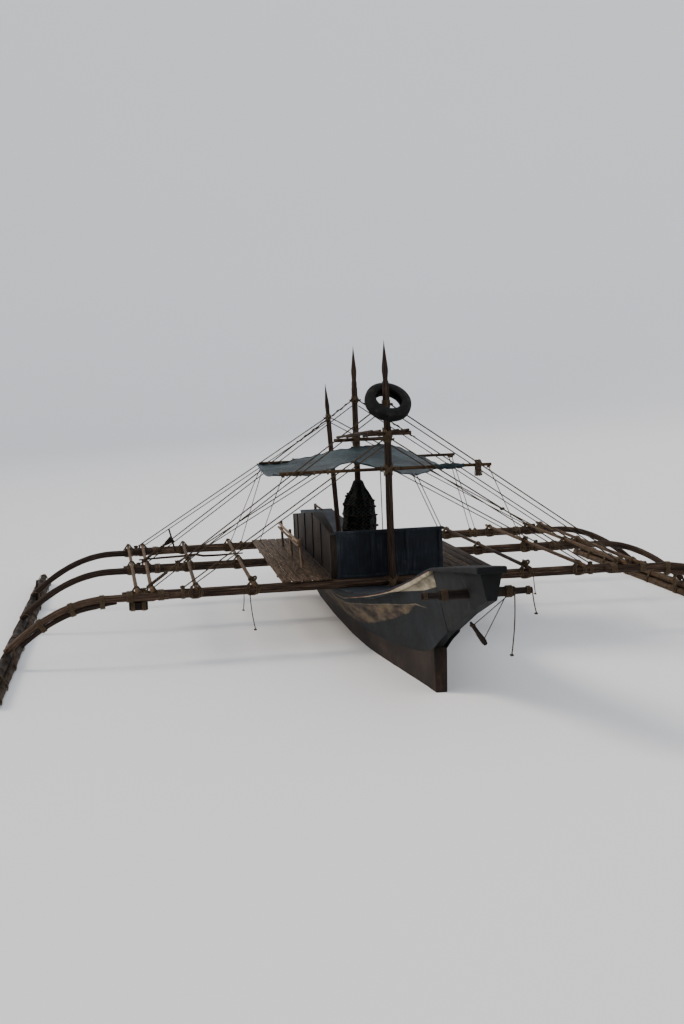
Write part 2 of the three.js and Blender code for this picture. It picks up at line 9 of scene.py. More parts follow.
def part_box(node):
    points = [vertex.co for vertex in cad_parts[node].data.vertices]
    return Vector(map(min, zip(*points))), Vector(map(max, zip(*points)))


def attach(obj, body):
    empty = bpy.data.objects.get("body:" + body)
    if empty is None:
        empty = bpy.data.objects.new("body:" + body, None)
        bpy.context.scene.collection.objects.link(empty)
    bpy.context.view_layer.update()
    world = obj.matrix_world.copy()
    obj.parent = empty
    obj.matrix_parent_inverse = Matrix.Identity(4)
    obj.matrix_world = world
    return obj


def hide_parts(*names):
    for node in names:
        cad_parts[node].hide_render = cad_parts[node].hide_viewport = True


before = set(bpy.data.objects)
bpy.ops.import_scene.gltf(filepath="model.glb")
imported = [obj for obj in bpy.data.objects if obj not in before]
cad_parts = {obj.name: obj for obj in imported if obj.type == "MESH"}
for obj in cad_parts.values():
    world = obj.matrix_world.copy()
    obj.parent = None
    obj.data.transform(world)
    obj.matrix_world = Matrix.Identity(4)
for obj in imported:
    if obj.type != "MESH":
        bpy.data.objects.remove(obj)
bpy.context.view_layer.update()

# View, floor and light
# The boat is seen from ahead and a little to port, from about three metres over its waterline, with
# a 50 mm lens; the pale floor lies at that line, so the wetted hull is below it.
EYE = Vector((-2.920, -19.043, 3.247))
EYE_RIGHT = Vector((0.98878, -0.14413, -0.03927))
EYE_UP = Vector((0.05260, 0.08984, 0.99457))
camera_data = bpy.data.cameras.new("camera")
camera_data.sensor_fit = "VERTICAL"
camera_data.sensor_height = 36
camera_data.lens = 50
camera_data.clip_end = 500
camera = bpy.data.objects.new("camera", camera_data)
axes = Matrix((EYE_RIGHT, EYE_UP, EYE_RIGHT.cross(EYE_UP))).transposed()
camera.matrix_world = Matrix.Translation(EYE) @ axes.to_4x4()
bpy.context.collection.objects.link(camera)
bpy.context.scene.camera = camera


def linear(code):
    """An sRGB hex colour as linear red, green, blue and full opacity."""
    parts = [int(code[i:i + 2], 16) / 255 for i in (1, 3, 5)]
    return [p / 12.92 if p <= 0.04045 else ((p + 0.055) / 1.055) ** 2.4 for p in parts] + [1.0]


def feed(owner, node, inputs):
    """Links inputs of a material's or world's node to a node's first output or an output, or sets them."""
    for name, value in inputs.items():
        if isinstance(value, bpy.types.Node):
            value = value.outputs[0]
        if isinstance(value, bpy.types.NodeSocket):
            owner.node_tree.links.new(value, node.inputs[name])
        else:
            node.inputs[name].default_value = value


def add(material, kind, inputs=None, stops=None, **settings):
    """Adds a shader node with its settings, what feeds its inputs, and its colour stops."""
    made = material.node_tree.nodes.new("ShaderNode" + kind)
    for name, value in settings.items():
        setattr(made, name, value)
    for index, (place, shade) in enumerate(stops or []):
        ramp = made.color_ramp.elements
        stop = ramp[index] if index < 2 else ramp.new(place)
        stop.position = place
        stop.color = linear(shade)
    feed(material, made, inputs or {})
    return made


def shader_of(material):
    """The material's one shader node."""
    return material.node_tree.nodes["Principled BSDF"]


def new_material(name, roughness, metallic=0.0, specular=0.16):
    """A material whose shader has one roughness, metalness and gloss until more is linked."""
    made = bpy.data.materials.new(name)
    made.use_nodes = True
    gloss = {"Roughness": roughness, "Metallic": metallic, "Specular IOR Level": specular}
    feed(made, shader_of(made), gloss)
    return made


def finish(material, colour, height, depth, roughness=None):
    """Links a colour, a height that is depth metres deep, and a roughness to the material's shader."""
    bump = add(material, "Bump", {"Height": height, "Distance": depth, "Strength": 0.8})
    feed(material, shader_of(material), {"Base Color": colour, "Normal": bump})
    if roughness is not None:
        feed(material, shader_of(material), {"Roughness": roughness})


FLOOR_RADIUS = 60
FLOOR_RIM = [
    # distance out and height of the rings by which the floor curves up into a backdrop
    (72, 0.9), (82, 3.4), (90, 8.0), (95, 15.0), (97, 26.0), (98, 42.0), (98.5, 62.0)]
floor_bm = bmesh.new()
bmesh.ops.create_circle(floor_bm, cap_ends=True, segments=96, radius=FLOOR_RADIUS)
for reach, lift in FLOOR_RIM:
    rim = [edge for edge in floor_bm.edges if edge.is_boundary]
    raised = bmesh.ops.extrude_edge_only(floor_bm, edges=rim)["geom"]
    for vert in (part for part in raised if isinstance(part, bmesh.types.BMVert)):
        vert.co = Vector((vert.co.x, vert.co.y, 0)).normalized() * reach + Vector((0, 0, lift))
for face in floor_bm.faces:
    face.smooth = True
floor_mesh = bpy.data.meshes.new("floor")
floor_bm.to_mesh(floor_mesh)
floor = bpy.data.objects.new("floor", floor_mesh)
bpy.context.collection.objects.link(floor)
floor_paint = new_material("matt pale floor", 0.9)
feed(floor_paint, shader_of(floor_paint), {"Base Color": linear("#e9eaec")})
floor_mesh.materials.append(floor_paint)

world = bpy.data.worlds.new("studio")
world.use_nodes = True
feed(world, world.node_tree.nodes["Background"], {"Color": linear("#e8ecf2"), "Strength": 0.98})
bpy.context.scene.world = world

LIGHTS = [
    # name, direction that it shines from, strength, softness in degrees, colour
    ("key", (-0.75, 0.35, 0.62), 2.7, 20, "#fff0dc"),
    ("fill", (-0.35, -0.85, 0.45), 0.8, 60, "#f2f5ff"),
]
for name, source, strength, softness, colour in LIGHTS:
    lamp = bpy.data.lights.new(name, "SUN")
    lamp.energy = strength
    lamp.angle = math.radians(softness)
    lamp.color = linear(colour)[:3]
    holder = bpy.data.objects.new(name, lamp)
    holder.rotation_euler = Vector(source).to_track_quat("Z", "Y").to_euler()
    bpy.context.collection.objects.link(holder)


# Dug-out log
# The bottom of the hull is one hewn log, tarred and painted dark brown long ago; the paint is
# chalky, with the marks of the adze under it.
BODY = "hull"


def cad_copy(node):
    """A merged copy of a CAD node, to be finished as a piece."""
    bm = bmesh.new()
    bm.from_mesh(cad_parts[node].data)
    bmesh.ops.remove_doubles(bm, verts=bm.verts, dist=0.00002)
    bmesh.ops.dissolve_limit(bm, angle_limit=math.radians(0.7), verts=bm.verts, edges=bm.edges)
    return bm


def soften(bm, width, segments=2, least=40):
    """Rounds the edges that turn by more than least degrees."""
    sharp = [e for e in bm.edges if len(e.link_faces) == 2 and e.calc_face_angle() > math.radians(least)]
    bmesh.ops.bevel(bm, geom=sharp, offset=width, segments=segments, profile=0.5, affect="EDGES",
                    material=-1, clamp_overlap=True)


def place_piece(bm, name, material, stands_for=(), body=BODY, crease=38):
    """Turns a finished bmesh into an object that rides on a body."""
    for face in bm.faces:
        face.smooth = True
    for edge in bm.edges:
        edge.smooth = len(edge.link_faces) == 2 and edge.calc_face_angle() < math.radians(crease)
    mesh = bpy.data.meshes.new(name)
    bm.to_mesh(mesh)
    bm.free()
    mesh.materials.append(material)
    piece = bpy.data.objects.new(name, mesh)
    bpy.context.collection.objects.link(piece)
    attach(piece, body)
    if stands_for:
        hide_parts(*stands_for)
    return piece


def dressed_copy(node, name, material, ease, segments=2, least=40, crease=38):
    """Stands a copy of a CAD node, with its edges eased, in the node's place."""
    bm = cad_copy(node)
    soften(bm, ease, segments, least)
    place_piece(bm, name, material, [node], crease=crease)


def spread(tones, first, width):
    """Colour stops at even steps over part of a ramp, from its first place."""
    return [(first + width * i / (len(tones) - 1), tone) for i, tone in enumerate(tones)]


def chalky_paint(name, tones, grit=9.0, marks=0.004):
    """Old brushed paint on wood: patches of several tones, streaks down the side, fine scratches."""
    made = new_material(name, 0.72)
    spot = add(made, "TexCoord").outputs["Object"]
    patch = add(made, "TexNoise", {"Vector": spot, "Scale": grit / 3, "Detail": 6, "Roughness": 0.62})
    run = add(made, "Mapping", {"Vector": spot, "Scale": (14, 2.2, 1.3)})
    streak = add(made, "TexNoise", {"Vector": run, "Scale": grit / 2, "Detail": 7, "Roughness": 0.7})
    both = add(made, "Math", {0: patch, 1: streak}, operation="ADD")
    half = add(made, "Math", {0: both, 1: 0.5}, operation="MULTIPLY")
    colour = add(made, "ValToRGB", {0: half}, stops=spread(tones, 0.36, 0.28))
    fine = add(made, "TexNoise", {"Vector": run, "Scale": grit * 6, "Detail": 3})
    rough = add(made, "MapRange", {0: streak, 3: 0.55, 4: 0.9})
    height = add(made, "Math", {0: half, 1: fine}, operation="ADD")
    finish(made, colour, height, marks, rough)
    return made


log_paint = chalky_paint("chalky tar-brown paint on a hewn log", ["#0f0c0a", "#1a1411", "#271d18", "#43342c"])
dressed_copy("keel_log", "dug_out_log", log_paint, 0.012, least=25, crease=50)


# Plywood sides
# Each side is a bent plywood sheet nailed to the log, painted black-navy together with its rail. A
# cream stripe under a red line widens into a wedge at the bow, over a worn brown and olive panel.
STATIONS = [
    # y, half breadth and height of the sheer, of the chine
    (-5.800, 0.190, 1.350, 0.060, 0.750),
    (-5.450, 0.212, 1.255, 0.064, 0.612),
    (-5.150, 0.240, 1.160, 0.070, 0.470),
    (-4.800, 0.285, 1.062, 0.100, 0.380),
    (-4.400, 0.335, 0.960, 0.150, 0.330),
    (-3.800, 0.420, 0.830, 0.225, 0.290),
    (-3.200, 0.505, 0.745, 0.300, 0.265),
    (-2.550, 0.600, 0.7017, 0.365, 0.250),
    (-1.600, 0.655, 0.7017, 0.410, 0.245),
    (0.000, 0.670, 0.7017, 0.425, 0.240),
    (1.600, 0.645, 0.7017, 0.405, 0.245),
    (2.150, 0.610, 0.7017, 0.380, 0.250),
    (3.000, 0.500, 0.760, 0.290, 0.275),
    (3.700, 0.375, 0.850, 0.180, 0.320),
    (4.250, 0.270, 0.935, 0.080, 0.400),
]
STRIPE = [
    # y, height of the stripe's red top line and of its lower edge
    (-5.80, 1.345, 1.182), (-5.35, 1.222, 1.084), (-4.93, 1.100, 1.020), (-4.58, 1.003, 0.968),
    (-4.38, 0.948, 0.930), (-4.03, 0.872, 0.857), (-3.59, 0.788, 0.773), (-3.26, 0.732, 0.718),
    (-2.82, 0.661, 0.646), (-2.16, 0.560, 0.546), (-1.20, 0.500, 0.487), (2.00, 0.500, 0.487),
    (3.20, 0.600, 0.586), (4.25, 0.800, 0.785),
]
PANEL = [
    # y, height of the lower panel's top and of its lower edge
    (-5.80, 0.900, 0.930), (-4.98, 0.897, 0.880), (-4.66, 0.843, 0.738), (-4.11, 0.768, 0.599),
    (-3.44, 0.669, 0.452), (-2.86, 0.594, 0.345), (-2.20, 0.500, 0.262), (-1.20, 0.440, 0.240),
    (2.00, 0.440, 0.240), (3.20, 0.530, 0.270), (4.25, 0.720, 0.380),
]
SIDE_FROM, SIDE_TO = STATIONS[0][0], STATIONS[-1][0]
PLY = 0.020


def along(rows, at):
    """The other columns of a table, at a value of its first column between two rows."""
    i = min(max(sum(row[0] <= at for row in rows) - 1, 0), len(rows) - 2)
    a, b = rows[i], rows[i + 1]
    share = (at - a[0]) / (b[0] - a[0])
    return [p + (q - p) * share for p, q in zip(a[1:], b[1:])]


def bent_grid(columns, rows, place, chart):
    """A grid put where place(s, t) says, s and t from 0 to 1, and charted by chart(s, t) for its UVs."""
    bm = bmesh.new()
    uv = bm.loops.layers.uv.new("UVMap")
    bm.verts.layers.float.new("tone")
    bmesh.ops.create_grid(bm, x_segments=columns, y_segments=rows, size=0.5)
    for face in bm.faces:
        for loop in face.loops:
            loop[uv].uv = chart(loop.vert.co.x + 0.5, loop.vert.co.y + 0.5)
    for vert in bm.verts:
        vert.co = place(vert.co.x + 0.5, vert.co.y + 0.5)
    return bm


PAINT_EDGES = ("over_stripe", "under_line", "over_panel", "under_panel")


def side_paint():
    """The sides' paint: navy, a cream stripe under a red line with its cream darkened as painted shade, and a
    worn panel with ragged edges.
    """
    made = chalky_paint("old brushed paint on wooden sides", ["#07090b", "#0d1013", "#14181c", "#25292e"], 8)
    shader = shader_of(made)
    navy = shader.inputs["Base Color"].links[0].from_socket
    spot = add(made, "TexCoord").outputs["Object"]
    stretch = add(made, "Mapping", {"Vector": spot, "Scale": (1, 0.45, 1.6)})
    worn = add(made, "TexNoise", {"Vector": stretch, "Scale": 5, "Detail": 8, "Roughness": 0.66})
    panel = add(made, "ValToRGB", {0: worn}, stops=[
        (0.34, "#1c1613"), (0.44, "#352b24"), (0.51, "#4d4035"), (0.57, "#565039"), (0.64, "#66493f"),
        (0.72, "#7a6c56")])
    # painted shade: the cream of the stripe and its wedge is made as dim as it is in shade, darker than the
    # paint
    cream = add(made, "ValToRGB", {0: worn}, stops=[
        (0.33, "#524b3f"), (0.47, "#7d7563"), (0.6, "#9f9580")])
    edges = {name: add(made, "Attribute", attribute_name=name).outputs["Fac"] for name in PAINT_EDGES}
    ragged = add(made, "MapRange", {0: worn, 1: 0.3, 2: 0.7, 3: -0.005, 4: 0.005})
    lower = add(made, "Math", {0: edges["over_panel"], 1: ragged}, operation="ADD")
    upper = add(made, "Math", {0: edges["under_panel"], 1: ragged}, operation="ADD")
    inside = add(made, "Math", {0: lower, 1: upper}, operation="MINIMUM")
    on_panel = add(made, "MapRange", {0: inside, 1: -0.002, 2: 0.014})
    pale = add(made, "MapRange", {0: upper, 1: 0.012, 2: 0.004})
    edge = add(made, "Math", {0: on_panel, 1: pale}, operation="MULTIPLY")
    stripe = add(made, "MapRange", {0: edges["over_stripe"], 1: -0.001, 2: 0.002})
    above = add(made, "MapRange", {0: edges["under_line"], 1: 0.002, 2: -0.002})
    red = add(made, "MapRange", {0: edges["under_line"], 1: 0.009, 2: 0.007})
    # the red line lies inside the stripe only, so the stripe's own mask holds it back
    line = add(made, "Math", {0: red, 1: stripe}, operation="MULTIPLY")
    coats = [(panel, on_panel), (cream, edge), (cream, stripe), (linear("#47201c"), line), (navy, above)]
    mixed = navy
    for top, mask in coats:
        mixed = add(made, "Mix", {0: mask, 6: mixed, 7: top}, data_type="RGBA").outputs[2]
    feed(made, shader, {"Base Color": mixed})
    return made


def chart_paint(bm):
    """Gives each point its height over or under each painted edge."""
    marks = [bm.verts.layers.float.new(name) for name in PAINT_EDGES]
    for vert in bm.verts:
        top, low = along(STRIPE, vert.co.y)
        panel_top, panel_low = along(PANEL, vert.co.y)
        heights = (vert.co.z - low, top - vert.co.z, vert.co.z - panel_low, panel_top - vert.co.z)
        for mark, height in zip(marks, heights):
            vert[mark] = height


side_coat = side_paint()
RAIL = [
    # corners of the rail's section: outwards and upwards from the sheer
    (0.0003, -0.050), (0.0003, 0.0), (0.038, 0.0), (0.038, -0.050)]
SIDES = (("port", -1), ("starboard", 1))
for word, side in SIDES:
    def side_point(s, t):
        """A point of the sheet: s from bow to stern and t from chine to sheer, from 0 to 1."""
        y = SIDE_FROM + (SIDE_TO - SIDE_FROM) * s
        sheer, sheer_z, chine, chine_z = along(STATIONS, y)
        return Vector((side * (chine + (sheer - chine) * t - 0.0005), y, chine_z + (sheer_z - chine_z) * t))

    bm = bent_grid(160, 14, side_point, lambda s, t: (t, 10 * s))
    skin = bm.faces[:]
    if skin[0].normal.x * side < 0:
        bmesh.ops.reverse_faces(bm, faces=skin)
    bmesh.ops.solidify(bm, geom=skin, thickness=PLY - 0.001)
    chart_paint(bm)
    place_piece(bm, f"plywood_side_{word}", side_coat, [f"side_{word}"])

    def rail_point(s, t):
        """A point of the rail: s from bow to stern and t round its section, from 0 to 1."""
        y = SIDE_FROM + (SIDE_TO - SIDE_FROM) * s
        sheer, sheer_z = along(STATIONS, y)[:2]
        out, up = RAIL[round(t * 4) % 4]
        return Vector((side * (sheer + out), y, sheer_z + up))

    bm = bent_grid(90, 4, rail_point, lambda s, t: (t, 10 * s))
    bmesh.ops.remove_doubles(bm, verts=bm.verts, dist=0.0001)
    bmesh.ops.holes_fill(bm, edges=bm.edges, sides=0)
    bmesh.ops.recalc_face_normals(bm, faces=bm.faces)
    soften(bm, 0.006)
    chart_paint(bm)
    place_piece(bm, f"gunwale_rail_{word}", side_coat, [f"gunwale_{word}"])


# Knee and end blocks
# The bow ends in a deep hewn block with a blunt, upturned nose under a thick cap board, and the
# stern in a shorter block. A knee joins log and block; all are painted black, darkened further by
# painted shade.
# painted shade: the blocks' black paint is taken darker still, near black, for the shade of the backlit bow
BLACK_PAINT_AND_SHADE_TONES = ["#040505", "#08090a", "#0e1012", "#1b1d20"]
block_paint = chalky_paint("old black paint on a hewn block, darkened by painted shade", BLACK_PAINT_AND_SHADE_TONES, 7, 0.003)
for node, ease in (("stem_knee", 0.004), ("bow_block", 0.012), ("bow_cap", 0.012), ("stern_block", 0.012)):
    dressed_copy(node, f"painted_{node}", block_paint, ease, segments=3)


# Decks and floor
# The decks fore and aft are plywood sheets in worn navy paint; the floor boards in the log are bare
# and trodden.
def grained_timber(name, tones, coordinates="UV", scale=(9, 1.1, 1), crack=(22, 1.6, 1)):
    """Bare timber left to the sun and salt: long dark fibres, darker checks, a raised grain."""
    made = new_material(name, 0.8)
    surface = add(made, "TexCoord").outputs[coordinates]
    tone = add(made, "Attribute", attribute_name="tone")
    lengthwise = add(made, "Mapping", {"Vector": surface, "Scale": scale})
    grain = add(made, "TexNoise", {"Vector": lengthwise, "Scale": 2.2, "Detail": 9, "Roughness": 0.72})
    cracks = add(made, "Mapping", {"Vector": surface, "Scale": crack})
    check = add(made, "TexNoise", {"Vector": cracks, "Scale": 3, "Detail": 2})
    split = add(made, "MapRange", {0: check, 1: 0.66, 2: 0.7, 3: 1.0, 4: 0.35})
    shift = add(made, "MapRange", {0: tone.outputs["Fac"], 3: -0.07, 4: 0.07})
    level = add(made, "Math", {0: grain, 1: shift}, operation="ADD")
    colour = add(made, "ValToRGB", {0: level}, stops=spread(tones, 0.32, 0.36))
    dark = add(made, "Mix", {0: 1.0, 6: colour, 7: split}, data_type="RGBA", blend_type="MULTIPLY")
    height = add(made, "Math", {0: grain, 1: split}, operation="MULTIPLY")
    finish(made, dark.outputs[2], height, 0.006)
    return made


PLY_EDGE = 0.004
DECK_TONES = ["#0c0f13", "#141920", "#20262d", "#3a3e41"]
deck_paint = chalky_paint("scuffed navy paint on plywood", DECK_TONES, 11, 0.002)
for node in ("foredeck", "aft_deck"):
    dressed_copy(node, f"plywood_{node}", deck_paint, PLY_EDGE)

bare_boards = grained_timber("trodden bare boards", ["#120d0a", "#221913", "#362a20", "#4e3f32", "#6c5c4a"],
                             "Object", (30, 2.2, 30), (60, 3, 60))
bm = cad_copy("floor_boards")
bm.verts.layers.float.new("tone")
place_piece(bm, "floor_in_log", bare_boards, ["floor_boards"])


# Screen, side locker and engine cover
# A navy plywood screen stands over the bow boom under a cap rail, with battens over its joints,
# and a wedge-shaped locker runs aft from its port end. A plywood box covers the engine.
def board_into(bm, low, high, tone=0.5, ease=0.003):
    """One sawn board with eased edges, from its lowest corner to its highest."""
    if "tone" not in bm.verts.layers.float:
        bm.verts.layers.float.new("tone")
    middle = Matrix.Translation((Vector(low) + Vector(high)) / 2)
    size = Matrix.Diagonal((*(Vector(high) - Vector(low)), 1))
    verts = bmesh.ops.create_cube(bm, size=1, matrix=middle @ size)["verts"]
    edges = list(dict.fromkeys(e for v in verts for e in v.link_edges))
    made = bmesh.ops.bevel(bm, geom=edges, offset=ease, segments=2, profile=0.5, affect="EDGES", material=-1)
    for vert in made["verts"]:
        vert[bm.verts.layers.float["tone"]] = tone
    return made["verts"]


def heads_into(bm, spots, normal, radius=0.005, proud=0.002):
    """Round nail or bolt heads on a surface that faces along normal."""
    turn = Vector(normal).to_track_quat("Z", "Y").to_matrix().to_4x4()
    for spot in spots:
        place = Matrix.Translation(Vector(spot) + Vector(normal) * proud / 2) @ turn
        bmesh.ops.create_cone(bm, cap_ends=True, segments=10, radius1=radius, radius2=radius * 0.7,
                              depth=proud, matrix=place)


SCREEN_TONES = ["#090b0e", "#10141a", "#1a1f26", "#33373c"]
screen_paint = chalky_paint("sun-dulled navy paint on plywood", SCREEN_TONES, 6, 0.002)
dressed_copy("front_bulkhead", "screen", screen_paint, PLY_EDGE)
SCREEN_FACE = -2.412
SCREEN_TOP = 1.349
BATTEN_X = (-0.618, -0.205, 0.215, 0.618)
BATTEN_FOOT, SILL_TOP = 0.822, 0.862
bm = bmesh.new()
for x in BATTEN_X:
    low = (x - 0.022, SCREEN_FACE - 0.014, BATTEN_FOOT)
    board_into(bm, low, (x + 0.022, SCREEN_FACE, SCREEN_TOP), 0.4)
board_into(bm, (-0.594, SCREEN_FACE - 0.012, BATTEN_FOOT), (0.594, SCREEN_FACE, SILL_TOP), 0.4)
nails = [(x, SCREEN_FACE - 0.014, 0.86 + 0.09 * i) for x in BATTEN_X for i in range(6)]
heads_into(bm, nails, (0, -1, 0))
place_piece(bm, "screen_battens", screen_paint)

LOCKER_TONES = ["#0c0a08", "#16120f", "#241d19", "#3d322a"]
locker_paint = chalky_paint("browned navy paint on plywood", LOCKER_TONES, 6, 0.003)
dressed_copy("side_locker", "wedge_locker", locker_paint, PLY_EDGE)
LOCKER_FACE = -0.7005
LOCKER_TOP = [
    # y, height of the locker's top
    (-2.370, 1.350), (-0.610, 1.460), (1.660, 1.240)]
bm = bmesh.new()
for y in (-2.345, -1.45, -0.61, 0.25, 1.12, 1.64):
    high = (LOCKER_FACE, y + 0.02, along(LOCKER_TOP, y)[0] - 0.004)
    board_into(bm, (LOCKER_FACE - 0.012, y - 0.02, BATTEN_FOOT), high, 0.4)
board_into(bm, (LOCKER_FACE - 0.0155, -2.365, BATTEN_FOOT), (LOCKER_FACE, 1.655, SILL_TOP), 0.5)
place_piece(bm, "locker_battens", locker_paint)

dressed_copy("engine_box", "engine_cover", screen_paint, PLY_EDGE)
COVER_TOP = 0.6402
bm = bmesh.new()
for y in (0.73, 1.47):
    board_into(bm, (-0.255, y - 0.022, COVER_TOP), (0.255, y + 0.022, 0.656), 0.4)
for x in (-0.21, 0.21):
    board_into(bm, (x - 0.012, 1.02, COVER_TOP), (x + 0.012, 1.18, 0.668), 0.6, 0.006)
place_piece(bm, "engine_cover_battens", screen_paint)


# Engine
# One single-cylinder diesel in grey-green cast iron sits on the floor under its box: a crankcase,
# a flywheel to port, a cylinder with a water hopper, a fuel tank and a short exhaust.
def worn_metal(name, tones, roughness, metallic, grit):
    """Metal out in salt air: the bare tone, dulled patches, and pits at their edges."""
    made = new_material(name, roughness, metallic)
    spot = add(made, "TexCoord").outputs["Object"]
    patch = add(made, "TexNoise", {"Vector": spot, "Scale": grit, "Detail": 8, "Roughness": 0.68})
    colour = add(made, "ValToRGB", {0: patch}, stops=spread(tones, 0.36, 0.3))
    pits = add(made, "TexNoise", {"Vector": spot, "Scale": grit * 14, "Detail": 3})
    rough = add(made, "MapRange", {0: patch, 3: roughness - 0.15, 4: roughness + 0.25})
    finish(made, colour, pits, 0.0008, rough)
    return made


cast_iron = worn_metal("painted cast iron", ["#14181a", "#23292a", "#333a38", "#4d4238"], 0.6, 0.4, 14)
low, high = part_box("engine_block")
CASTINGS = [
    # low corner, high corner and rounded edge of the feet, crankcase, water hopper and fuel tank
    (low, (high.x, high.y, low.z + 0.045), 0.006),
    ((low.x + 0.03, low.y + 0.05, low.z + 0.04), (high.x - 0.05, high.y - 0.09, low.z + 0.24), 0.02),
    ((low.x + 0.05, low.y + 0.03, low.z + 0.16), (high.x - 0.08, high.y - 0.28, high.z - 0.03), 0.015),
    ((low.x + 0.06, high.y - 0.22, low.z + 0.25), (high.x - 0.07, high.y - 0.06, high.z - 0.07), 0.03),
]
CRANK_Y, CRANK_Z = 1.12, 0.245
WHEELS = [
    # x, radius and width of the flywheel, the belt wheel and its nut
    (-0.137, 0.125, 0.024), (0.125, 0.075, 0.03), (0.142, 0.03, 0.014)]
bm = bmesh.new()
for low_corner, high_corner, ease in CASTINGS:
    board_into(bm, low_corner, high_corner, ease=ease)
for x, radius, width in WHEELS:
    crank = Matrix.Translation((x, CRANK_Y, CRANK_Z)) @ Matrix.Rotation(math.pi / 2, 4, "Y")
    wheel = bmesh.ops.create_cone(bm, cap_ends=True, segments=40, radius1=radius, radius2=radius,
                                  depth=width, matrix=crank)
    rims = list(dict.fromkeys(f for v in wheel["verts"] for f in v.link_faces if len(f.verts) > 8))
    bmesh.ops.inset_individual(bm, faces=rims, thickness=radius * 0.2, depth=-width * 0.2)
# the exhaust and the filler cap stand on top
for x, y, z0, z1 in ((0.07, 1.02, 0.40, 0.492), (-0.03, 0.96, 0.44, 0.488)):
    bmesh.ops.create_cone(bm, cap_ends=True, segments=20, radius1=0.022, radius2=0.02, depth=z1 - z0,
                          matrix=Matrix.Translation((x, y, (z0 + z1) / 2)))
place_piece(bm, "single_cylinder_engine", cast_iron, ["engine_block"])


# Booms and arms
# Three straight trunks cross the hull; a thinner curved arm lies beside each end and bends down to
# its float. Round pieces are made by bridging rings set along a path, and their surface carries
# its turn round the piece and its metres along it.
def sweep_into(bm, path, radii, sides=16, closed=False, tone=0.5, marks=None, back=(0, 1, 0)):
    """Adds a round piece along a path, its faces outwards; its seam faces back."""
    if "UVMap" not in bm.loops.layers.uv:
        bm.loops.layers.uv.new("UVMap")
        bm.verts.layers.float.new("tone")
        bm.verts.layers.float.new("mark")
    uv = bm.loops.layers.uv["UVMap"]
    tones = bm.verts.layers.float["tone"]
    dark = bm.verts.layers.float["mark"]
    points = [Vector(p) for p in path]
    count = len(points)
    lengths = [0.0]
    for a, b in zip(points, points[1:] + points[:1]):
        lengths.append(lengths[-1] + (b - a).length)
    turn = Vector(back)
    rings = []
    for k, point in enumerate(points):
        before = points[k - 1] if k or closed else point
        after = points[(k + 1) % count] if k < count - 1 or closed else point
        ahead = (after - before).normalized()
        turn = (turn - ahead * turn.dot(ahead)).normalized()
        matrix = Matrix((turn, ahead.cross(turn), ahead)).transposed().to_4x4()
        matrix.translation = point
        radius = radii[k] if hasattr(radii, "__len__") else radii
        ring = bmesh.ops.create_circle(bm, segments=sides, radius=radius, matrix=matrix)["verts"]
        for vert in ring:
            vert[tones] = tone
            vert[dark] = marks[k] if marks else 0.0
        rings.append(ring)
    seat = {vert: (k, j) for k, ring in enumerate(rings) for j, vert in enumerate(ring)}
    skin = []
    for a, b in list(zip(rings, rings[1:])) + ([(rings[-1], rings[0])] if closed else []):
        touching = (e for v in a + b for e in v.link_edges)
        rims = dict.fromkeys(e for e in touching if seat[e.verts[0]][0] == seat[e.verts[1]][0])
        band = bmesh.ops.bridge_loops(bm, edges=list(rims))["faces"]
        for face in band:
            spots = [seat[loop.vert] for loop in face.loops]
            wraps = max(j for _, j in spots) - min(j for _, j in spots) > sides / 2
            joins = closed and {k for k, _ in spots} == {0, count - 1}
            for loop, (k, j) in zip(face.loops, spots):
                turned = (j + sides if wraps and j < sides / 2 else j) / sides
                loop[uv].uv = (turned, lengths[count] if joins and k == 0 else lengths[k])
        skin += band
    if not closed:
        for ring in (rings[0], rings[-1]):
            rim = dict.fromkeys(e for v in ring for e in v.link_edges if e.other_vert(v) in ring)
            skin += bmesh.ops.contextual_create(bm, geom=list(rim))["faces"]
    bmesh.ops.recalc_face_normals(bm, faces=skin)
    return bm


def swept(path, radii, **how):
    """One round piece along a path, by itself."""
    return sweep_into(bmesh.new(), path, radii, **how)


# the noise needs a seed as well, or else noise_vector bends the poles differently in each run
rng = random.Random(11)
noise.seed_set(11)


def pole_path(start, end, steps, crook=0.008):
    """Points from one end to the other of a pole that grew nearly straight."""
    a, b = Vector(start), Vector(end)
    seed = rng.uniform(0, 50)
    ahead = (b - a).normalized()
    path = []
    for i in range(steps + 1):
        share = i / steps
        wobble = Vector(noise.noise_vector(Vector((seed, share * 3.0, 0))))
        wobble -= ahead * wobble.dot(ahead)
        path.append(a + (b - a) * share + wobble * crook * math.sin(math.pi * share))
    return path


DARK_TONES = ["#0f0b09", "#1d1510", "#2f231b", "#46372c", "#655444"]
dark_timber = grained_timber("sea-darkened hardwood poles", DARK_TONES)
BOOM_Z = 0.760
BOOM_R = 0.058
BOOM_HALF = 3.190
BOOM_Y = {"bow": -2.400, "mid": 0.0, "aft": 2.000}
ARM_R = 0.046
ARM_INNER, ARM_BEND, FLOAT_X, ARM_DROP = 2.650, 3.350, 4.550, 0.555
ARM_STEPS = 26


def arm_point(x, y, side):
    """A point on the axis of the arm beside the boom at y, at a distance out."""
    bent = max(0, x - ARM_BEND) / (FLOAT_X - ARM_BEND)
    return Vector((side * x, y - BOOM_R - ARM_R, BOOM_Z - ARM_DROP * bent ** 2))


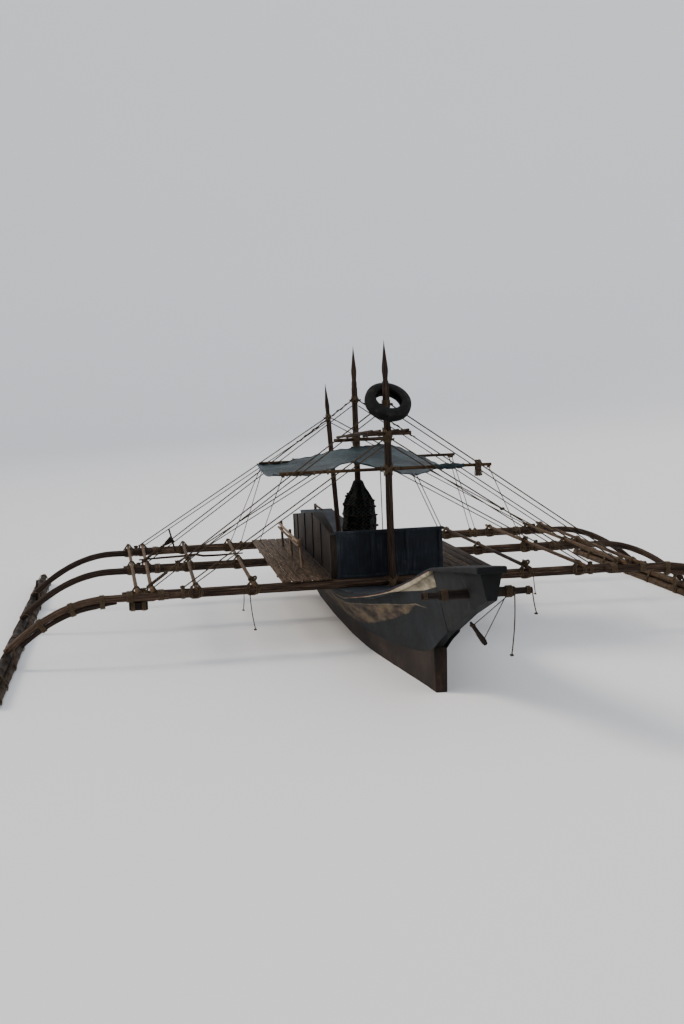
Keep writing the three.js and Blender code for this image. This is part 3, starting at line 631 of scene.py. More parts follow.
for place, y in BOOM_Y.items():
    path = pole_path((-BOOM_HALF, y, BOOM_Z), (BOOM_HALF, y, BOOM_Z), 24, 0.004)
    radii = [BOOM_R * (1 + 0.02 * math.sin(2.3 * i + y)) - 0.001 for i in range(25)]
    bm = swept(path, radii, sides=28, tone=rng.random(), back=(0, 0, -1))
    soften(bm, 0.006, least=60)
    place_piece(bm, f"trunk_{place}", dark_timber, [f"boom_{place}"])
    for word, side in SIDES:
        path, radii = [], []
        for i in range(ARM_STEPS + 1):
            path.append(arm_point(ARM_INNER + (FLOAT_X - ARM_INNER) * i / ARM_STEPS, y, side))
            radii.append(ARM_R * (1.0 - 0.1 * i / ARM_STEPS + 0.02 * math.sin(1.9 * i)))
        bm = swept(path, radii, sides=24, tone=rng.random(), back=(0, 0, -1))
        soften(bm, 0.006, least=60)
        place_piece(bm, f"curved_arm_{place}_{word}", dark_timber, [f"arm_{place}_{word}"])


def under_arm(x, away, side):
    """A point under the forward arm, away from its axis, and the arm's directions there."""
    bent = max(0, x - ARM_BEND) / (FLOAT_X - ARM_BEND)
    ahead = Vector((side, 0, -2 * ARM_DROP * bent / (FLOAT_X - ARM_BEND))).normalized()
    up = Vector((-ahead.z * side, 0, ahead.x * side))
    return arm_point(x, BOOM_Y["bow"], side) - up * away, ahead, up


# the forward arms are doubled by a lighter pole tied close under them
DOUBLE_R = 0.031
DOUBLE_GAP = 0.043
for word, side in SIDES:
    radii = [0.012 + (DOUBLE_R - 0.012) * min(1, i / 4) - 0.003 * i / 18 for i in range(19)]
    path = [under_arm(3.25 + 1.16 * i / 18, DOUBLE_GAP + radius, side)[0] for i, radius in enumerate(radii)]
    bm = swept(path, radii, sides=20, tone=rng.random(), back=(0, 0, -1))
    place_piece(bm, f"doubling_pole_{word}", dark_timber, crease=60)


# Bamboo floats and long poles
# Each float is three thick canes lashed together, and thinner canes lie fore and aft over the
# booms. Cane is smooth between raised rings, tan when dry, and greys and blackens in patches.
def dry_cane(name, tones):
    """Bamboo cane: fibres along it, a dark line at each ring, and tones that vary from cane to cane."""
    made = new_material(name, 0.68, specular=0.10)
    surface = add(made, "TexCoord").outputs["UV"]
    tone = add(made, "Attribute", attribute_name="tone")
    ring = add(made, "Attribute", attribute_name="mark")
    lengthwise = add(made, "Mapping", {"Vector": surface, "Scale": (7, 0.8, 1)})
    fibre = add(made, "TexNoise", {"Vector": lengthwise, "Scale": 3, "Detail": 8, "Roughness": 0.66})
    shift = add(made, "MapRange", {0: tone.outputs["Fac"], 3: -0.09, 4: 0.09})
    level = add(made, "Math", {0: fibre, 1: shift}, operation="ADD")
    colour = add(made, "ValToRGB", {0: level}, stops=spread(tones, 0.3, 0.45))
    banded = add(made, "Mix", {0: ring.outputs["Fac"], 6: colour, 7: linear("#1c150f")}, data_type="RGBA")
    finish(made, banded.outputs[2], fibre, 0.002)
    return made


pole_cane = dry_cane("dry bamboo cane", ["#19120c", "#31251a", "#4c3a28", "#67513a", "#836b4e"])
float_cane = dry_cane("sea-stained bamboo cane", ["#100b07", "#1e160f", "#312518", "#473624", "#5e4b35"])


def cane_into(bm, start, end, radius, spacing, sides=16, taper=0.12):
    """Adds a bamboo cane, with a ring about every spacing metres."""
    a, b = Vector(start), Vector(end)
    length = (b - a).length
    # metres along the cane, how much it swells there, and how dark it is
    spots = [(0.0, 0.97, 0.0)]
    run = spacing * rng.uniform(0.3, 0.9)
    while run < length - 0.05:
        spots += [(run - 0.012, 0.985, 0.0), (run - 0.003, 1.045, 1.0), (run + 0.004, 1.045, 1.0),
                  (run + 0.013, 0.96, 0.3)]
        run += spacing * rng.uniform(0.85, 1.12)
    spots.append((length, 0.97, 0.0))
    seed = rng.uniform(0, 90)
    ahead = (b - a).normalized()
    path = []
    for run, _, _ in spots:
        sway = Vector(noise.noise_vector(Vector((seed, run * 0.35, 3)))) * 0.006
        path.append(a + ahead * run + sway - ahead * sway.dot(ahead))
    radii = [radius * swell * (1 - taper * run / length) for run, swell, _ in spots]
    marks = [dark for _, _, dark in spots]
    sweep_into(bm, path, radii, sides=sides, tone=rng.random(), marks=marks, back=(0, 0, -1))
    return bm


FLOAT_Y = (-4.500, 4.600)
FLOAT_LOW, FLOAT_HIGH, FLOAT_R = 0.030, 0.125, 0.055
FLOAT_CANES = [
    # distance out from the float's middle, height
    (-0.054, FLOAT_LOW), (0.054, FLOAT_LOW), (0.0, FLOAT_HIGH)]
for word, side in SIDES:
    bm = bmesh.new()
    for out, z in FLOAT_CANES:
        x = side * FLOAT_X + out
        cane_into(bm, (x, FLOAT_Y[0], z), (x, FLOAT_Y[1], z), FLOAT_R - 0.0005, 0.42, sides=20, taper=0.06)
    place_piece(bm, f"float_canes_{word}", float_cane, [f"float_{word}"], crease=60)

# a short peg stands on the port float beside its after arm
PEG = ((-4.490, 1.985, 0.130), (-4.475, 1.990, 0.430))
bm = swept(pole_path(*PEG, 5, 0.003), [0.020, 0.021, 0.020, 0.019, 0.018, 0.013], sides=18, tone=0.4)
place_piece(bm, "float_peg", dark_timber, crease=50)

POLE_R = 0.024
BOOM_TOP = 0.8183
POLE_Y = (BOOM_Y["bow"] - 0.220, BOOM_Y["aft"] + 0.220)
LONG_POLES = [
    # distance out at the bow boom and at the aft boom
    (1.660, 1.660), (2.330, 2.330), (2.850, 2.925), (3.020, 3.130)]


def pole_out(row, y):
    """How far out a long pole lies, at a place along the boat."""
    at_bow, at_aft = LONG_POLES[row]
    return at_bow + (at_aft - at_bow) * (y - BOOM_Y["bow"]) / (BOOM_Y["aft"] - BOOM_Y["bow"])


for row in range(4):
    for word, side in SIDES:
        start, end = [(side * pole_out(row, y), y, BOOM_TOP + POLE_R) for y in POLE_Y]
        bm = cane_into(bmesh.new(), start, end, POLE_R, 0.36)
        node = f"long_pole_{row + 1}_{word}"
        place_piece(bm, f"long_cane_{row + 1}_{word}", pole_cane, [node], crease=60)

# a thin crooked stick lies over the port canes, beside the middle boom
CROOKED = [
    # x, height over the canes, radius
    (-2.98, 0.010, 0.010), (-2.70, 0.020, 0.014), (-2.42, 0.026, 0.015), (-2.22, 0.040, 0.016),
    (-2.12, 0.016, 0.015), (-1.90, 0.014, 0.014), (-1.58, 0.022, 0.009)]
path = [(x, 0.095 + 0.012 * math.sin(7 * x), BOOM_TOP + 2 * POLE_R + lift) for x, lift, _ in CROOKED]
bm = swept(path, [radius for _, _, radius in CROOKED], sides=14, tone=0.6, back=(0, 0, -1))
place_piece(bm, "crooked_stick_port", dark_timber, crease=70)


# Side decks and rail
# Five bare planks run fore and aft over the booms on each side, on battens underneath. Two light
# poles on posts make a low rail along the port deck.
PLANK_TOP = BOOM_TOP + 0.020
PLANK_IN, PLANK_WIDE, PLANK_PITCH = 0.712, 0.110, 0.122
for word, side in SIDES:
    bm = bmesh.new()
    for i in range(5):
        near = PLANK_IN + i * PLANK_PITCH
        x0, x1 = sorted((side * near, side * (near + PLANK_WIDE)))
        reach = rng.uniform(0, 0.05)
        board_into(bm, (x0, -2.480 + reach, BOOM_TOP), (x1, 2.080 - reach, PLANK_TOP), rng.random())
        for y in BOOM_Y.values():
            heads_into(bm, [(x0 + 0.025, y, PLANK_TOP), (x1 - 0.025, y, PLANK_TOP)], (0, 0, 1))
    for y in (-1.800, -0.600, 0.700, 1.500):
        x0, x1 = sorted((side * PLANK_IN, side * 1.310))
        board_into(bm, (x0, y, BOOM_TOP - 0.025), (x1, y + 0.070, BOOM_TOP - 0.0002), rng.random())
    place_piece(bm, f"side_planks_{word}", bare_boards, [f"side_deck_{word}"])

PALE_TONES = ["#2b211a", "#4d3d31", "#6d5a49", "#8a7663", "#a08d78"]
pale_timber = grained_timber("sun-bleached peeled poles", PALE_TONES)
RAIL_X = -0.985
bm = bmesh.new()
for z, lean in ((1.115, 0.004), (1.172, -0.004)):
    path = pole_path((RAIL_X + lean, -1.400, z), (RAIL_X - lean, 1.050, z), 18, 0.003)
    sweep_into(bm, path, 0.0165, sides=14, tone=rng.random(), back=(1, 0, 0))
for y in (-1.330, -0.150, 0.980):
    path = pole_path((RAIL_X + 0.040, y, PLANK_TOP), (RAIL_X + 0.030, y, 1.205), 6, 0.004)
    sweep_into(bm, path, 0.019, sides=14, tone=rng.random(), back=(1, 0, 0))
place_piece(bm, "deck_rail_port", pale_timber, crease=60)


# Masts
# Three hand-cut hardwood masts stand on the foredeck and the floor, each lashed to its boom. A
# grooved neck takes the stays, and a carved spear tip stands above it.
MASTS = {
    "bow": dict(y=-2.504, foot=0.722, tip=3.628, r=0.046, lean=0.0),
    "mid": dict(y=-0.103, foot=0.1004, tip=3.620, r=0.044, lean=0.0),
    "aft": dict(y=1.897, foot=0.1026, tip=3.127, r=0.040, lean=0.130),
}


def mast_profile(m):
    """Heights over the foot, and the radius there, up a mast."""
    length = m["tip"] - m["foot"]
    r = m["r"]
    shaft = [(0.0, r * 0.97), (0.02, r), (length * 0.3, r * 0.975), (length * 0.6, r * 0.94)]
    grooves = [(0.640, r * 0.92), (0.560, r * 0.9), (0.542, r * 0.74), (0.526, r * 0.9), (0.510, r * 0.76),
               (0.494, r * 0.88)]
    neck = [(0.478, 0.031), (0.457, 0.030), (0.445, 0.031)]
    spear = [(0.400, r * 0.78), (0.360, r * 0.86), (0.320, r * 0.83), (0.240, r * 0.62), (0.150, r * 0.38),
             (0.060, r * 0.15), (0.004, 0.0012)]
    return shaft + [(length - under_tip, radius) for under_tip, radius in grooves + neck + spear]


def mast_x(m, z):
    """Where a leaning mast's axis is at a height; it crosses the middle of its boom."""
    return -m["lean"] * (z - BOOM_Z) / (m["tip"] - BOOM_Z)


def mast_r(m, z):
    """A mast's radius at a height over the waterline."""
    return along([(m["foot"] + height, radius) for height, radius in mast_profile(m)], z)[0]


for place, m in MASTS.items():
    profile = mast_profile(m)
    rows = []
    for (h0, r0), (h1, r1) in zip(profile, profile[1:]):
        steps = max(1, round((h1 - h0) / 0.12))
        rows += [(h0 + (h1 - h0) * i / steps, r0 + (r1 - r0) * i / steps) for i in range(steps)]
    path, radii = [], []
    for height, radius in rows + profile[-1:]:
        z = m["foot"] + height
        sway = 0.003 * math.sin(2.1 * height + m["y"]) * min(1, height)
        path.append((mast_x(m, z) + sway, m["y"], z))
        radii.append(radius * (1 + 0.015 * math.sin(9 * height)) - 0.0008 * (radius > 0.02))
    bm = swept(path, radii, sides=28, tone=rng.random() * 0.6)
    place_piece(bm, f"spear_mast_{place}", dark_timber, [f"mast_{place}"], crease=50)


# Stays
# Laid rope stays run from the masts out to the booms' ends, each with a thinner line beside it.
# More taut lines come down from the awning's spars to the booms.
def laid_rope(name, tones, pitch):
    """Three-strand laid rope: diagonal strands once a pitch, the colour darker between them, and dirty
    patches.
    """
    made = new_material(name, 0.85)
    surface = add(made, "TexCoord").outputs["UV"]
    # one strand is a third of a turn, and the wave repeats every 0.628 of its own units
    lay = add(made, "Mapping", {"Vector": surface, "Scale": (1.885, 1.885 / pitch, 1)})
    strand = add(made, "TexWave", {"Vector": lay, "Scale": 1, "Distortion": 0.4, "Detail": 1},
                 bands_direction="DIAGONAL")
    dirt = add(made, "TexNoise", {"Vector": surface, "Scale": 9, "Detail": 6})
    # the colour is darker between the strands, where the wave is low, and in the noise's patches
    level = add(made, "Math", {0: strand.outputs["Fac"], 1: dirt}, operation="MULTIPLY")
    colour = add(made, "ValToRGB", {0: level}, stops=spread(tones, 0.05, 0.5))
    finish(made, colour, strand.outputs["Fac"], 0.004)
    return made


stay_rope = laid_rope("weathered three-strand rope", ["#15100c", "#2d241b", "#4a3d2f", "#6b5c48"], 0.045)
STAY_R = 0.008
SECOND_R = 0.0068
THIN_R = 0.0055
STAYS = [("bow", "upper"), ("bow", "lower"), ("mid", "upper"), ("mid", "lower"), ("aft", "upper")]
stay_ends = {}
spare_lines = bmesh.new()


def straight(start, end, steps):
    """Points at even steps from one place to another."""
    return [start.lerp(end, i / steps) for i in range(steps + 1)]


def wound(start, end, first, last, steps, step_turn, radius, begin=0.0):
    """Points of a helix round part of a line, from one share of its length to another."""
    path = []
    for i in range(steps + 1):
        turn = step_turn * i + begin
        around = Vector((0, math.cos(turn), math.sin(turn))) * radius
        path.append(start.lerp(end, first + (last - first) * i / steps) + around)
    return path


for place, word in STAYS:
    for side_word, side in SIDES:
        node = f"stay_{place}_{word}_{side_word}"
        low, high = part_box(node)
        inner, outer = (low.x, high.x) if side > 0 else (high.x, low.x)
        start = Vector((inner + side * 0.005, low.y + STAY_R, high.z - 0.006))
        end = Vector((outer - side * 0.005, high.y - STAY_R, low.z + 0.006))
        stay_ends[node] = (start, end)
        bm = swept(straight(start, end, 10), STAY_R, sides=12)
        place_piece(bm, f"rope_{node}", stay_rope, [node])
        beside = (start + Vector((0, 0.012, -0.075)), end + Vector((-side * 0.085, 0.010, 0)))
        sweep_into(spare_lines, straight(*beside, 6), SECOND_R, sides=8)
        if (place, word) == ("mid", "upper"):
            # the topmost stays are wound with a spare end for their first metre
            sweep_into(spare_lines, wound(start, end, 0.02, 0.26, 72, 0.55, 0.0135), 0.006, sides=7)

SPAR_Z = 2.105
SPAR_R = 0.022
spar_y = {key: sum(corner.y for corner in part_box(f"spreader_{key}")) / 2 for key in ("bow", "mid")}
TIE_DOWNS = [
    # spar, distance out on it, boom, distance out on it; port is negative
    ("mid", -1.300, "aft", -1.630), ("mid", -1.270, "aft", -1.470), ("bow", -1.250, "aft", -1.190),
    ("mid", 1.290, "aft", 2.100), ("mid", 1.250, "aft", 2.020), ("bow", 1.230, "mid", 2.300),
]
thin_lines = []
for spar, spar_x, boom, boom_x in TIE_DOWNS:
    start = Vector((spar_x, spar_y[spar], SPAR_Z - SPAR_R))
    thin_lines.append((start, Vector((boom_x, BOOM_Y[boom], BOOM_Z + BOOM_R))))
# three more come down from the forward spar to the screen's cap rail
for x in (0.300, 0.345):
    thin_lines.append((Vector((x, spar_y["bow"] + 0.026, 2.040)), Vector((x + 0.29, -2.385, 1.385))))
thin_lines.append((Vector((-0.088, spar_y["bow"] - 0.010, SPAR_Z - 0.020)), Vector((-0.075, -2.395, 1.386))))
for start, end in thin_lines:
    sweep_into(spare_lines, straight(start, end, 6), THIN_R, sides=8)
place_piece(spare_lines, "second_stays_and_tie_downs", stay_rope)


# Spreader spars and awning
# Two bamboo spars lashed across the masts hold a faded blue-grey tarpaulin; it humps over the
# rack's poles, sags between the spars, and its roped hem is laced to them with cord.
for key in ("bow", "mid"):
    low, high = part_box(f"spreader_{key}")
    start, end = [(x, spar_y[key], SPAR_Z) for x in (low.x, high.x)]
    bm = cane_into(bmesh.new(), start, end, SPAR_R - 0.0008, 0.3, taper=0.08)
    place_piece(bm, f"cane_spreader_{key}", float_cane, [f"spreader_{key}"], crease=60)

AWNING = [
    # x, height over the booms at the front edge and at the back edge
    (-1.360, 1.345, 1.340), (-1.040, 1.320, 1.335), (-0.700, 1.375, 1.400), (-0.400, 1.450, 1.460),
    (-0.100, 1.370, 1.500), (0.340, 1.270, 1.525), (0.600, 1.320, 1.460), (0.900, 1.345, 1.345),
]
awning_low, awning_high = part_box("awning")


def awning_point(s, t):
    """A point of the awning: s to starboard, t from its front edge to its back edge, from 0 to 1."""
    y = awning_low.y + (awning_high.y - awning_low.y) * t
    x = AWNING[0][0] + (AWNING[-1][0] - AWNING[0][0]) * s
    i = min(max(sum(row[0] <= x for row in AWNING) - 1, 0), len(AWNING) - 2)
    f = (x - AWNING[i][0]) / (AWNING[i + 1][0] - AWNING[i][0])
    heights = []
    # four rows of the table give a smooth curve between its middle two
    for column in (1, 2):
        p = [AWNING[min(max(k, 0), len(AWNING) - 1)][column] for k in (i - 1, i, i + 1, i + 2)]
        heights.append(0.5 * (2 * p[1] + (p[2] - p[0]) * f + (2 * p[0] - 5 * p[1] + 4 * p[2] - p[3]) * f ** 2
                              + (3 * p[1] - p[0] - 3 * p[2] + p[3]) * f ** 3))
    sag = 0.060 * math.sin(math.pi * t)
    folds = noise.noise(Vector((x * 3.1, y * 0.9, 4))) * 0.018
    folds += abs(noise.noise(Vector((x * 6 + y * 2.2, y * 1.2, 9)))) * 0.020
    # between its laces the edge is drawn up in small scallops
    folds += 0.006 * math.cos(2 * math.pi * 14 * s) * (abs(2 * t - 1) ** 6)
    z = BOOM_Z + heights[0] + (heights[1] - heights[0]) * t - sag + folds - 0.008
    return Vector((x, y, z))


def faded_tarpaulin():
    """Woven polyethylene sheet gone chalky: a square weave, drawn coarse to show, pale creases, and painted
    highlights in long streaks along its folds.
    """
    made = new_material("faded polyethylene tarpaulin", 0.5)
    surface = add(made, "TexCoord").outputs["UV"]
    warp = add(made, "TexWave", {"Vector": surface, "Scale": 70}, bands_direction="X")
    weft = add(made, "TexWave", {"Vector": surface, "Scale": 70}, bands_direction="Y")
    cloth = add(made, "Math", {0: warp.outputs["Fac"], 1: weft.outputs["Fac"]}, operation="MULTIPLY")
    soiled = {"Vector": surface, "Scale": 1.5, "Detail": 8, "Roughness": 0.62, "Distortion": 0.6}
    patch = add(made, "TexNoise", soiled)
    crease = add(made, "TexVoronoi", {"Vector": surface, "Scale": 2.6}, feature="DISTANCE_TO_EDGE")
    line = add(made, "MapRange", {0: crease, 1: 0.0, 2: 0.03, 3: 0.10, 4: 0.0})
    # painted highlights: long pale streaks along the folds, where the light catches the sheet
    pulled = add(made, "Mapping", {"Vector": surface, "Rotation": (0, 0, 0.35), "Scale": (0.7, 7, 1)})
    streak = add(made, "TexNoise", {"Vector": pulled, "Scale": 1.6, "Detail": 4})
    painted_fold_highlight = add(made, "MapRange", {0: streak, 1: 0.35, 2: 0.75, 3: -0.08, 4: 0.12})
    marked = add(made, "Math", {0: patch, 1: line}, operation="ADD")
    level = add(made, "Math", {0: marked, 1: painted_fold_highlight}, operation="ADD")
    colour = add(made, "ValToRGB", {0: level}, stops=[
        (0.30, "#121a1d"), (0.44, "#1b282d"), (0.56, "#27373d"), (0.68, "#3d4f55"), (0.82, "#637277")])
    height = add(made, "Math", {0: cloth, 1: line}, operation="ADD")
    finish(made, colour, height, 0.003)
    return made


tarpaulin = faded_tarpaulin()
bm = bent_grid(112, 84, awning_point, lambda s, t: (2.3 * s, 2.2 * t))
if bm.faces[:][0].normal.z < 0:
    bmesh.ops.reverse_faces(bm, faces=bm.faces)
awning = place_piece(bm, "tarpaulin_awning", tarpaulin, ["awning"], crease=80)
awning.modifiers.new("sheet", "SOLIDIFY").thickness = 0.003

HEM_R = 0.007
edge = [awning_point(i / 60, 0) for i in range(60)] + [awning_point(1, i / 50) for i in range(50)]
edge += [awning_point(1 - i / 60, 1) for i in range(60)] + [awning_point(0, 1 - i / 50) for i in range(50)]
bm = swept(edge, HEM_R, sides=8, closed=True, back=(0, 0, 1))
hem = place_piece(bm, "roped_hem", tarpaulin)

# the forward starboard corner is gathered round its spar in a lumpy roll
ROLL_STEPS = 40
path, radii = [], []
for i in range(ROLL_STEPS + 1):
    y, z = spar_y["bow"] - 0.003 * math.sin(0.4 * i), SPAR_Z + 0.004 * math.sin(0.5 * i)
    path.append((0.560 + 0.370 * i / ROLL_STEPS, y, z))
    radii.append(0.024 + 0.013 * math.sin(math.pi * i / ROLL_STEPS) + 0.003 * math.sin(0.8 * i))
bm = swept(path, radii, sides=20, back=(0, 0, -1))
gathered = place_piece(bm, "gathered_corner", tarpaulin, crease=60)


# Overhead rack
# Two cross poles lashed to the bow and the middle mast carry four thin slats, for spare poles. All
# are peeled hardwood saplings.
low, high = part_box("overhead_rack")
RACK_Z = {"bow": 2.530, "mid": 2.360}
RACK_Y = {"bow": low.y + 0.085, "mid": high.y - 0.085}
SLAT_LIFT = 0.039
SLATS = [
    # x at the bow end and at the middle mast's end
    (-0.200, -0.240), (-0.105, -0.110), (0.110, 0.120), (0.230, 0.330)]
bm = bmesh.new()
for key, x0, x1 in (("bow", -0.245, 0.280), ("mid", -0.300, 0.400)):
    y, z = RACK_Y[key], RACK_Z[key]
    path = pole_path((x0, y, z), (x1, y, z), 6, 0.006)
    sweep_into(bm, path, 0.0245, sides=16, tone=rng.random(), back=(0, 0, -1))
for bow_x, mid_x in SLATS:
    start = (bow_x, low.y + 0.002, RACK_Z["bow"] + SLAT_LIFT)
    path = pole_path(start, (mid_x, high.y - 0.002, RACK_Z["mid"] + SLAT_LIFT), 14)
    sweep_into(bm, path, 0.0175, sides=14, tone=rng.random(), back=(0, 0, -1))
place_piece(bm, "rack_of_poles", dark_timber, ["overhead_rack"], crease=50)


# Tyre fender
# An old car tyre is threaded over the bow mast and jams on its stay: moulded rubber with worn
# tread blocks, ribbed walls and a dusty bloom.
TYRE_PLACE = Matrix.Translation((0.018, -2.5339, 2.900))
TYRE_SLANT = Matrix.Rotation(math.radians(11), 4, "Y") @ Matrix.Rotation(math.radians(44), 4, "X")
TREADS = 56


def dusty_rubber():
    """Vulcanised rubber gone grey: matt black with a pale bloom of dust, and a fine grain."""
    made = new_material("old vulcanised rubber", 0.8)
    spot = add(made, "TexCoord").outputs["Object"]
    dust = add(made, "TexNoise", {"Vector": spot, "Scale": 9, "Detail": 8, "Roughness": 0.65})
    stops = [(0.4, "#0c0c0d"), (0.58, "#181818"), (0.74, "#34322e")]
    colour = add(made, "ValToRGB", {0: dust}, stops=stops)
    fine = add(made, "TexNoise", {"Vector": spot, "Scale": 260, "Detail": 2})
    finish(made, colour, fine, 0.0006)
    return made


OUTSIDE = [
    # radius and height of one half of the section: bead, ribbed wall, shoulder, grooved tread
    (0.160, -0.062), (0.166, -0.070), (0.180, -0.074), (0.192, -0.076), (0.195, -0.0745), (0.212, -0.076),
    (0.215, -0.0745), (0.235, -0.072), (0.252, -0.066), (0.266, -0.057), (0.2735, -0.049),
    (0.2765, -0.044), (0.2765, -0.030), (0.270, -0.029), (0.270, -0.025), (0.2785, -0.024),
    (0.2795, -0.004), (0.272, -0.003)]
INSIDE = [(0.160, 0.034), (0.235, 0.030), (0.252, 0.015), (0.252, -0.015), (0.235, -0.030), (0.160, -0.034)]
section = OUTSIDE + [(radius, -z) for radius, z in reversed(OUTSIDE)] + INSIDE
bm = bmesh.new()
ring = [bm.verts.new((radius, 0, z)) for radius, z in section]
for a, b in zip(ring, ring[1:] + ring[:1]):
    bm.edges.new((a, b))
bmesh.ops.spin(bm, geom=bm.verts[:] + bm.edges[:], cent=(0, 0, 0), axis=(0, 0, 1), angle=2 * math.pi,
               steps=2 * TREADS, use_merge=True)
bmesh.ops.remove_doubles(bm, verts=bm.verts, dist=0.00005)
for vert in bm.verts:
    radius = math.hypot(vert.co.x, vert.co.y)
    groove = round(math.atan2(vert.co.y, vert.co.x) / math.pi * TREADS) % 2
    if radius > 0.2695 and abs(vert.co.z) > 0.020 and groove:
        vert.co.x *= 0.980
        vert.co.y *= 0.980
bmesh.ops.recalc_face_normals(bm, faces=bm.faces)
bmesh.ops.transform(bm, matrix=TYRE_PLACE @ TYRE_SLANT, verts=bm.verts)
place_piece(bm, "car_tyre_fender", dusty_rubber(), ["tyre_fender"], crease=28)


# Net bundle
# A fishing net is bunched round the middle mast, its foot on the boom: dark knotted twine in deep
# folds, with the head rope and its foam floats wound round the outside.
def knotted_net():
    """Knotted twine netting in many layers: diamonds drawn larger than the 40 mm mesh, their holes near black
    as painted shade of the layers within.
    """
    made = new_material("knotted nylon twine netting", 0.9)
    surface = add(made, "TexCoord").outputs["UV"]
    lines = []
    for lean in (1, -1):
        skew = add(made, "Mapping", {"Vector": surface, "Rotation": (0, 0, lean * 0.9)})
        wave = add(made, "TexWave", {"Vector": skew, "Scale": 9, "Distortion": 1.5, "Detail": 3},
                   bands_direction="X")
        lines.append(add(made, "MapRange", {0: wave.outputs["Fac"], 1: 0.72, 2: 0.92}))
    twine = add(made, "Math", {0: lines[0], 1: lines[1]}, operation="MAXIMUM")
    clump = add(made, "TexNoise", {"Vector": surface, "Scale": 5, "Detail": 6})
    level = add(made, "Math", {0: twine, 1: clump}, operation="MULTIPLY")
    # painted shade: where there is no twine the colour is near black, for the shaded layers seen through the
    # holes
    colour = add(made, "ValToRGB", {0: level}, stops=[
        (0.02, "#08090a"), (0.3, "#14191a"), (0.5, "#242b2a"), (0.7, "#39403b")])
    finish(made, colour, twine, 0.006)
    return made


NET_CORE = 0.047
NET = [
    # height, radius
    (0.8190, NET_CORE), (0.8192, 0.200), (0.850, 0.210), (0.978, 0.218), (1.198, 0.222), (1.378, 0.214),
    (1.480, 0.210), (1.560, 0.194), (1.640, 0.138), (1.730, 0.090), (1.818, 0.060), (1.8185, NET_CORE)]


def net_radius(z, turn):
    """Radius of the bunched net in a direction, with its long folds and small lumps."""
    radius = along(NET, z)[0]
    full = min(1, max(0, (radius - NET_CORE) / 0.08))
    lie = 4.0 * (z - 0.8)
    folds = 0.013 * math.sin(7 * turn + lie) + 0.008 * math.sin(13 * turn - 1.7 * lie)
    lumps = 0.016 * noise.noise(Vector((3 * math.cos(turn), 3 * math.sin(turn), 9 * z)))
    return radius + (folds + lumps - 0.006) * full


def round_net(z, turn, proud=0.0):
    """A point on the net, or a little proud of it."""
    radius = net_radius(z, turn) + proud
    return Vector((radius * math.cos(turn), MASTS["mid"]["y"] + radius * math.sin(turn), z))


def net_point(s, t):
    """A point of the net: s round it and t up it, from 0 to 1."""
    return round_net(NET[0][0] + (NET[-1][0] - NET[0][0]) * t, 2 * math.pi * s)


bm = bent_grid(96, 70, net_point, lambda s, t: (1.2 * s, t))
bmesh.ops.remove_doubles(bm, verts=bm.verts, dist=0.0001)
bmesh.ops.recalc_face_normals(bm, faces=bm.faces)
place_piece(bm, "bunched_net", knotted_net(), ["net_bundle"], crease=70)

head_rope = laid_rope("dark tarred head rope", ["#0b0a09", "#171412", "#28231e", "#3c352c"], 0.03)
ROPE_STEPS = 299
floats = bmesh.new()
path = []
for i in range(ROPE_STEPS + 1):
    turn = 0.15 * i
    path.append(round_net(1.66 - 0.80 * i / ROPE_STEPS + 0.02 * math.sin(0.7 * turn), turn, 0.003))
    if i % 2 and i > 8:
        out = Matrix.Translation(path[-1] + Vector((math.cos(turn), math.sin(turn), 0)) * 0.006)
        spin = (path[-1] - path[-2]).to_track_quat("Z", "Y").to_matrix().to_4x4()
        bmesh.ops.create_uvsphere(floats, u_segments=10, v_segments=7, radius=0.0155 * rng.uniform(0.85, 1.1),
                                  matrix=out @ spin @ Matrix.Diagonal((1, 1, 1.55, 1)))
place_piece(swept(path, 0.005, sides=7, back=(0, 0, 1)), "net_head_rope", head_rope)
foam = chalky_paint("weathered foam net floats", ["#0d0b0a", "#191412", "#28201b", "#3b3029"], 60, 0.001)
place_piece(floats, "net_floats", foam, crease=60)


# Lashings
# Every crossing of round timbers is lashed with cord: turns on both diagonals where one pole lies
# over another, and side-by-side turns where an arm, a mast or a stay is tied along a pole.
CORD_R = 0.0055
lashing_cord = laid_rope("sun-dried nylon lashing cord", ["#1c1611", "#3c3126", "#63523f", "#8a765b"], 0.02)


def drawn_tight(circles, steps):
    """Points of a cord drawn tight round circles (across, up, radius) in one plane."""
    points = []
    for i in range(steps):
        angle = 2 * math.pi * i / steps
        ahead, up = math.cos(angle), math.sin(angle)
        across, high, radius = max(circles, key=lambda c: c[0] * ahead + c[1] * up + c[2])
        points.append((across + (radius + CORD_R) * ahead, high + (radius + CORD_R) * up))
    return points


def cord_stamp(name, loops):
    """A mesh of closed cord loops, each a list of points and the normal of its plane."""
    bm = bmesh.new()
    for path, normal in loops:
        sweep_into(bm, path, CORD_R, sides=7, closed=True, back=normal)
    mesh = bpy.data.meshes.new(name)
    bm.to_mesh(mesh)
    bm.free()
    return mesh


def cross_stamp(name, first_r, second_r, turns=3):
    """Diagonal turns round a pole along X and a second pole along Y that lies on top of it."""
    lift = first_r + second_r
    loops = []
    for lean in (-1, 1):
        ahead = Vector((1, lean, 0)).normalized()
        aside = Vector((-lean, 1, 0)).normalized()
        for k in range(turns):
            off = (k - (turns - 1) / 2) * 2.3 * CORD_R
            over = 0.9 * CORD_R * (lean > 0)
            # the turns cross both poles at 45 degrees, which stretches them by the root of two
            circles = [(-lean * off / 1.414, 0, first_r + over), (lean * off / 1.414, lift, second_r + over)]
            path = [ahead * across * 1.414 + aside * off + Vector((0, 0, high))
                    for across, high in drawn_tight(circles, 24)]
            loops.append((path, aside))
    return cord_stamp(name, loops)


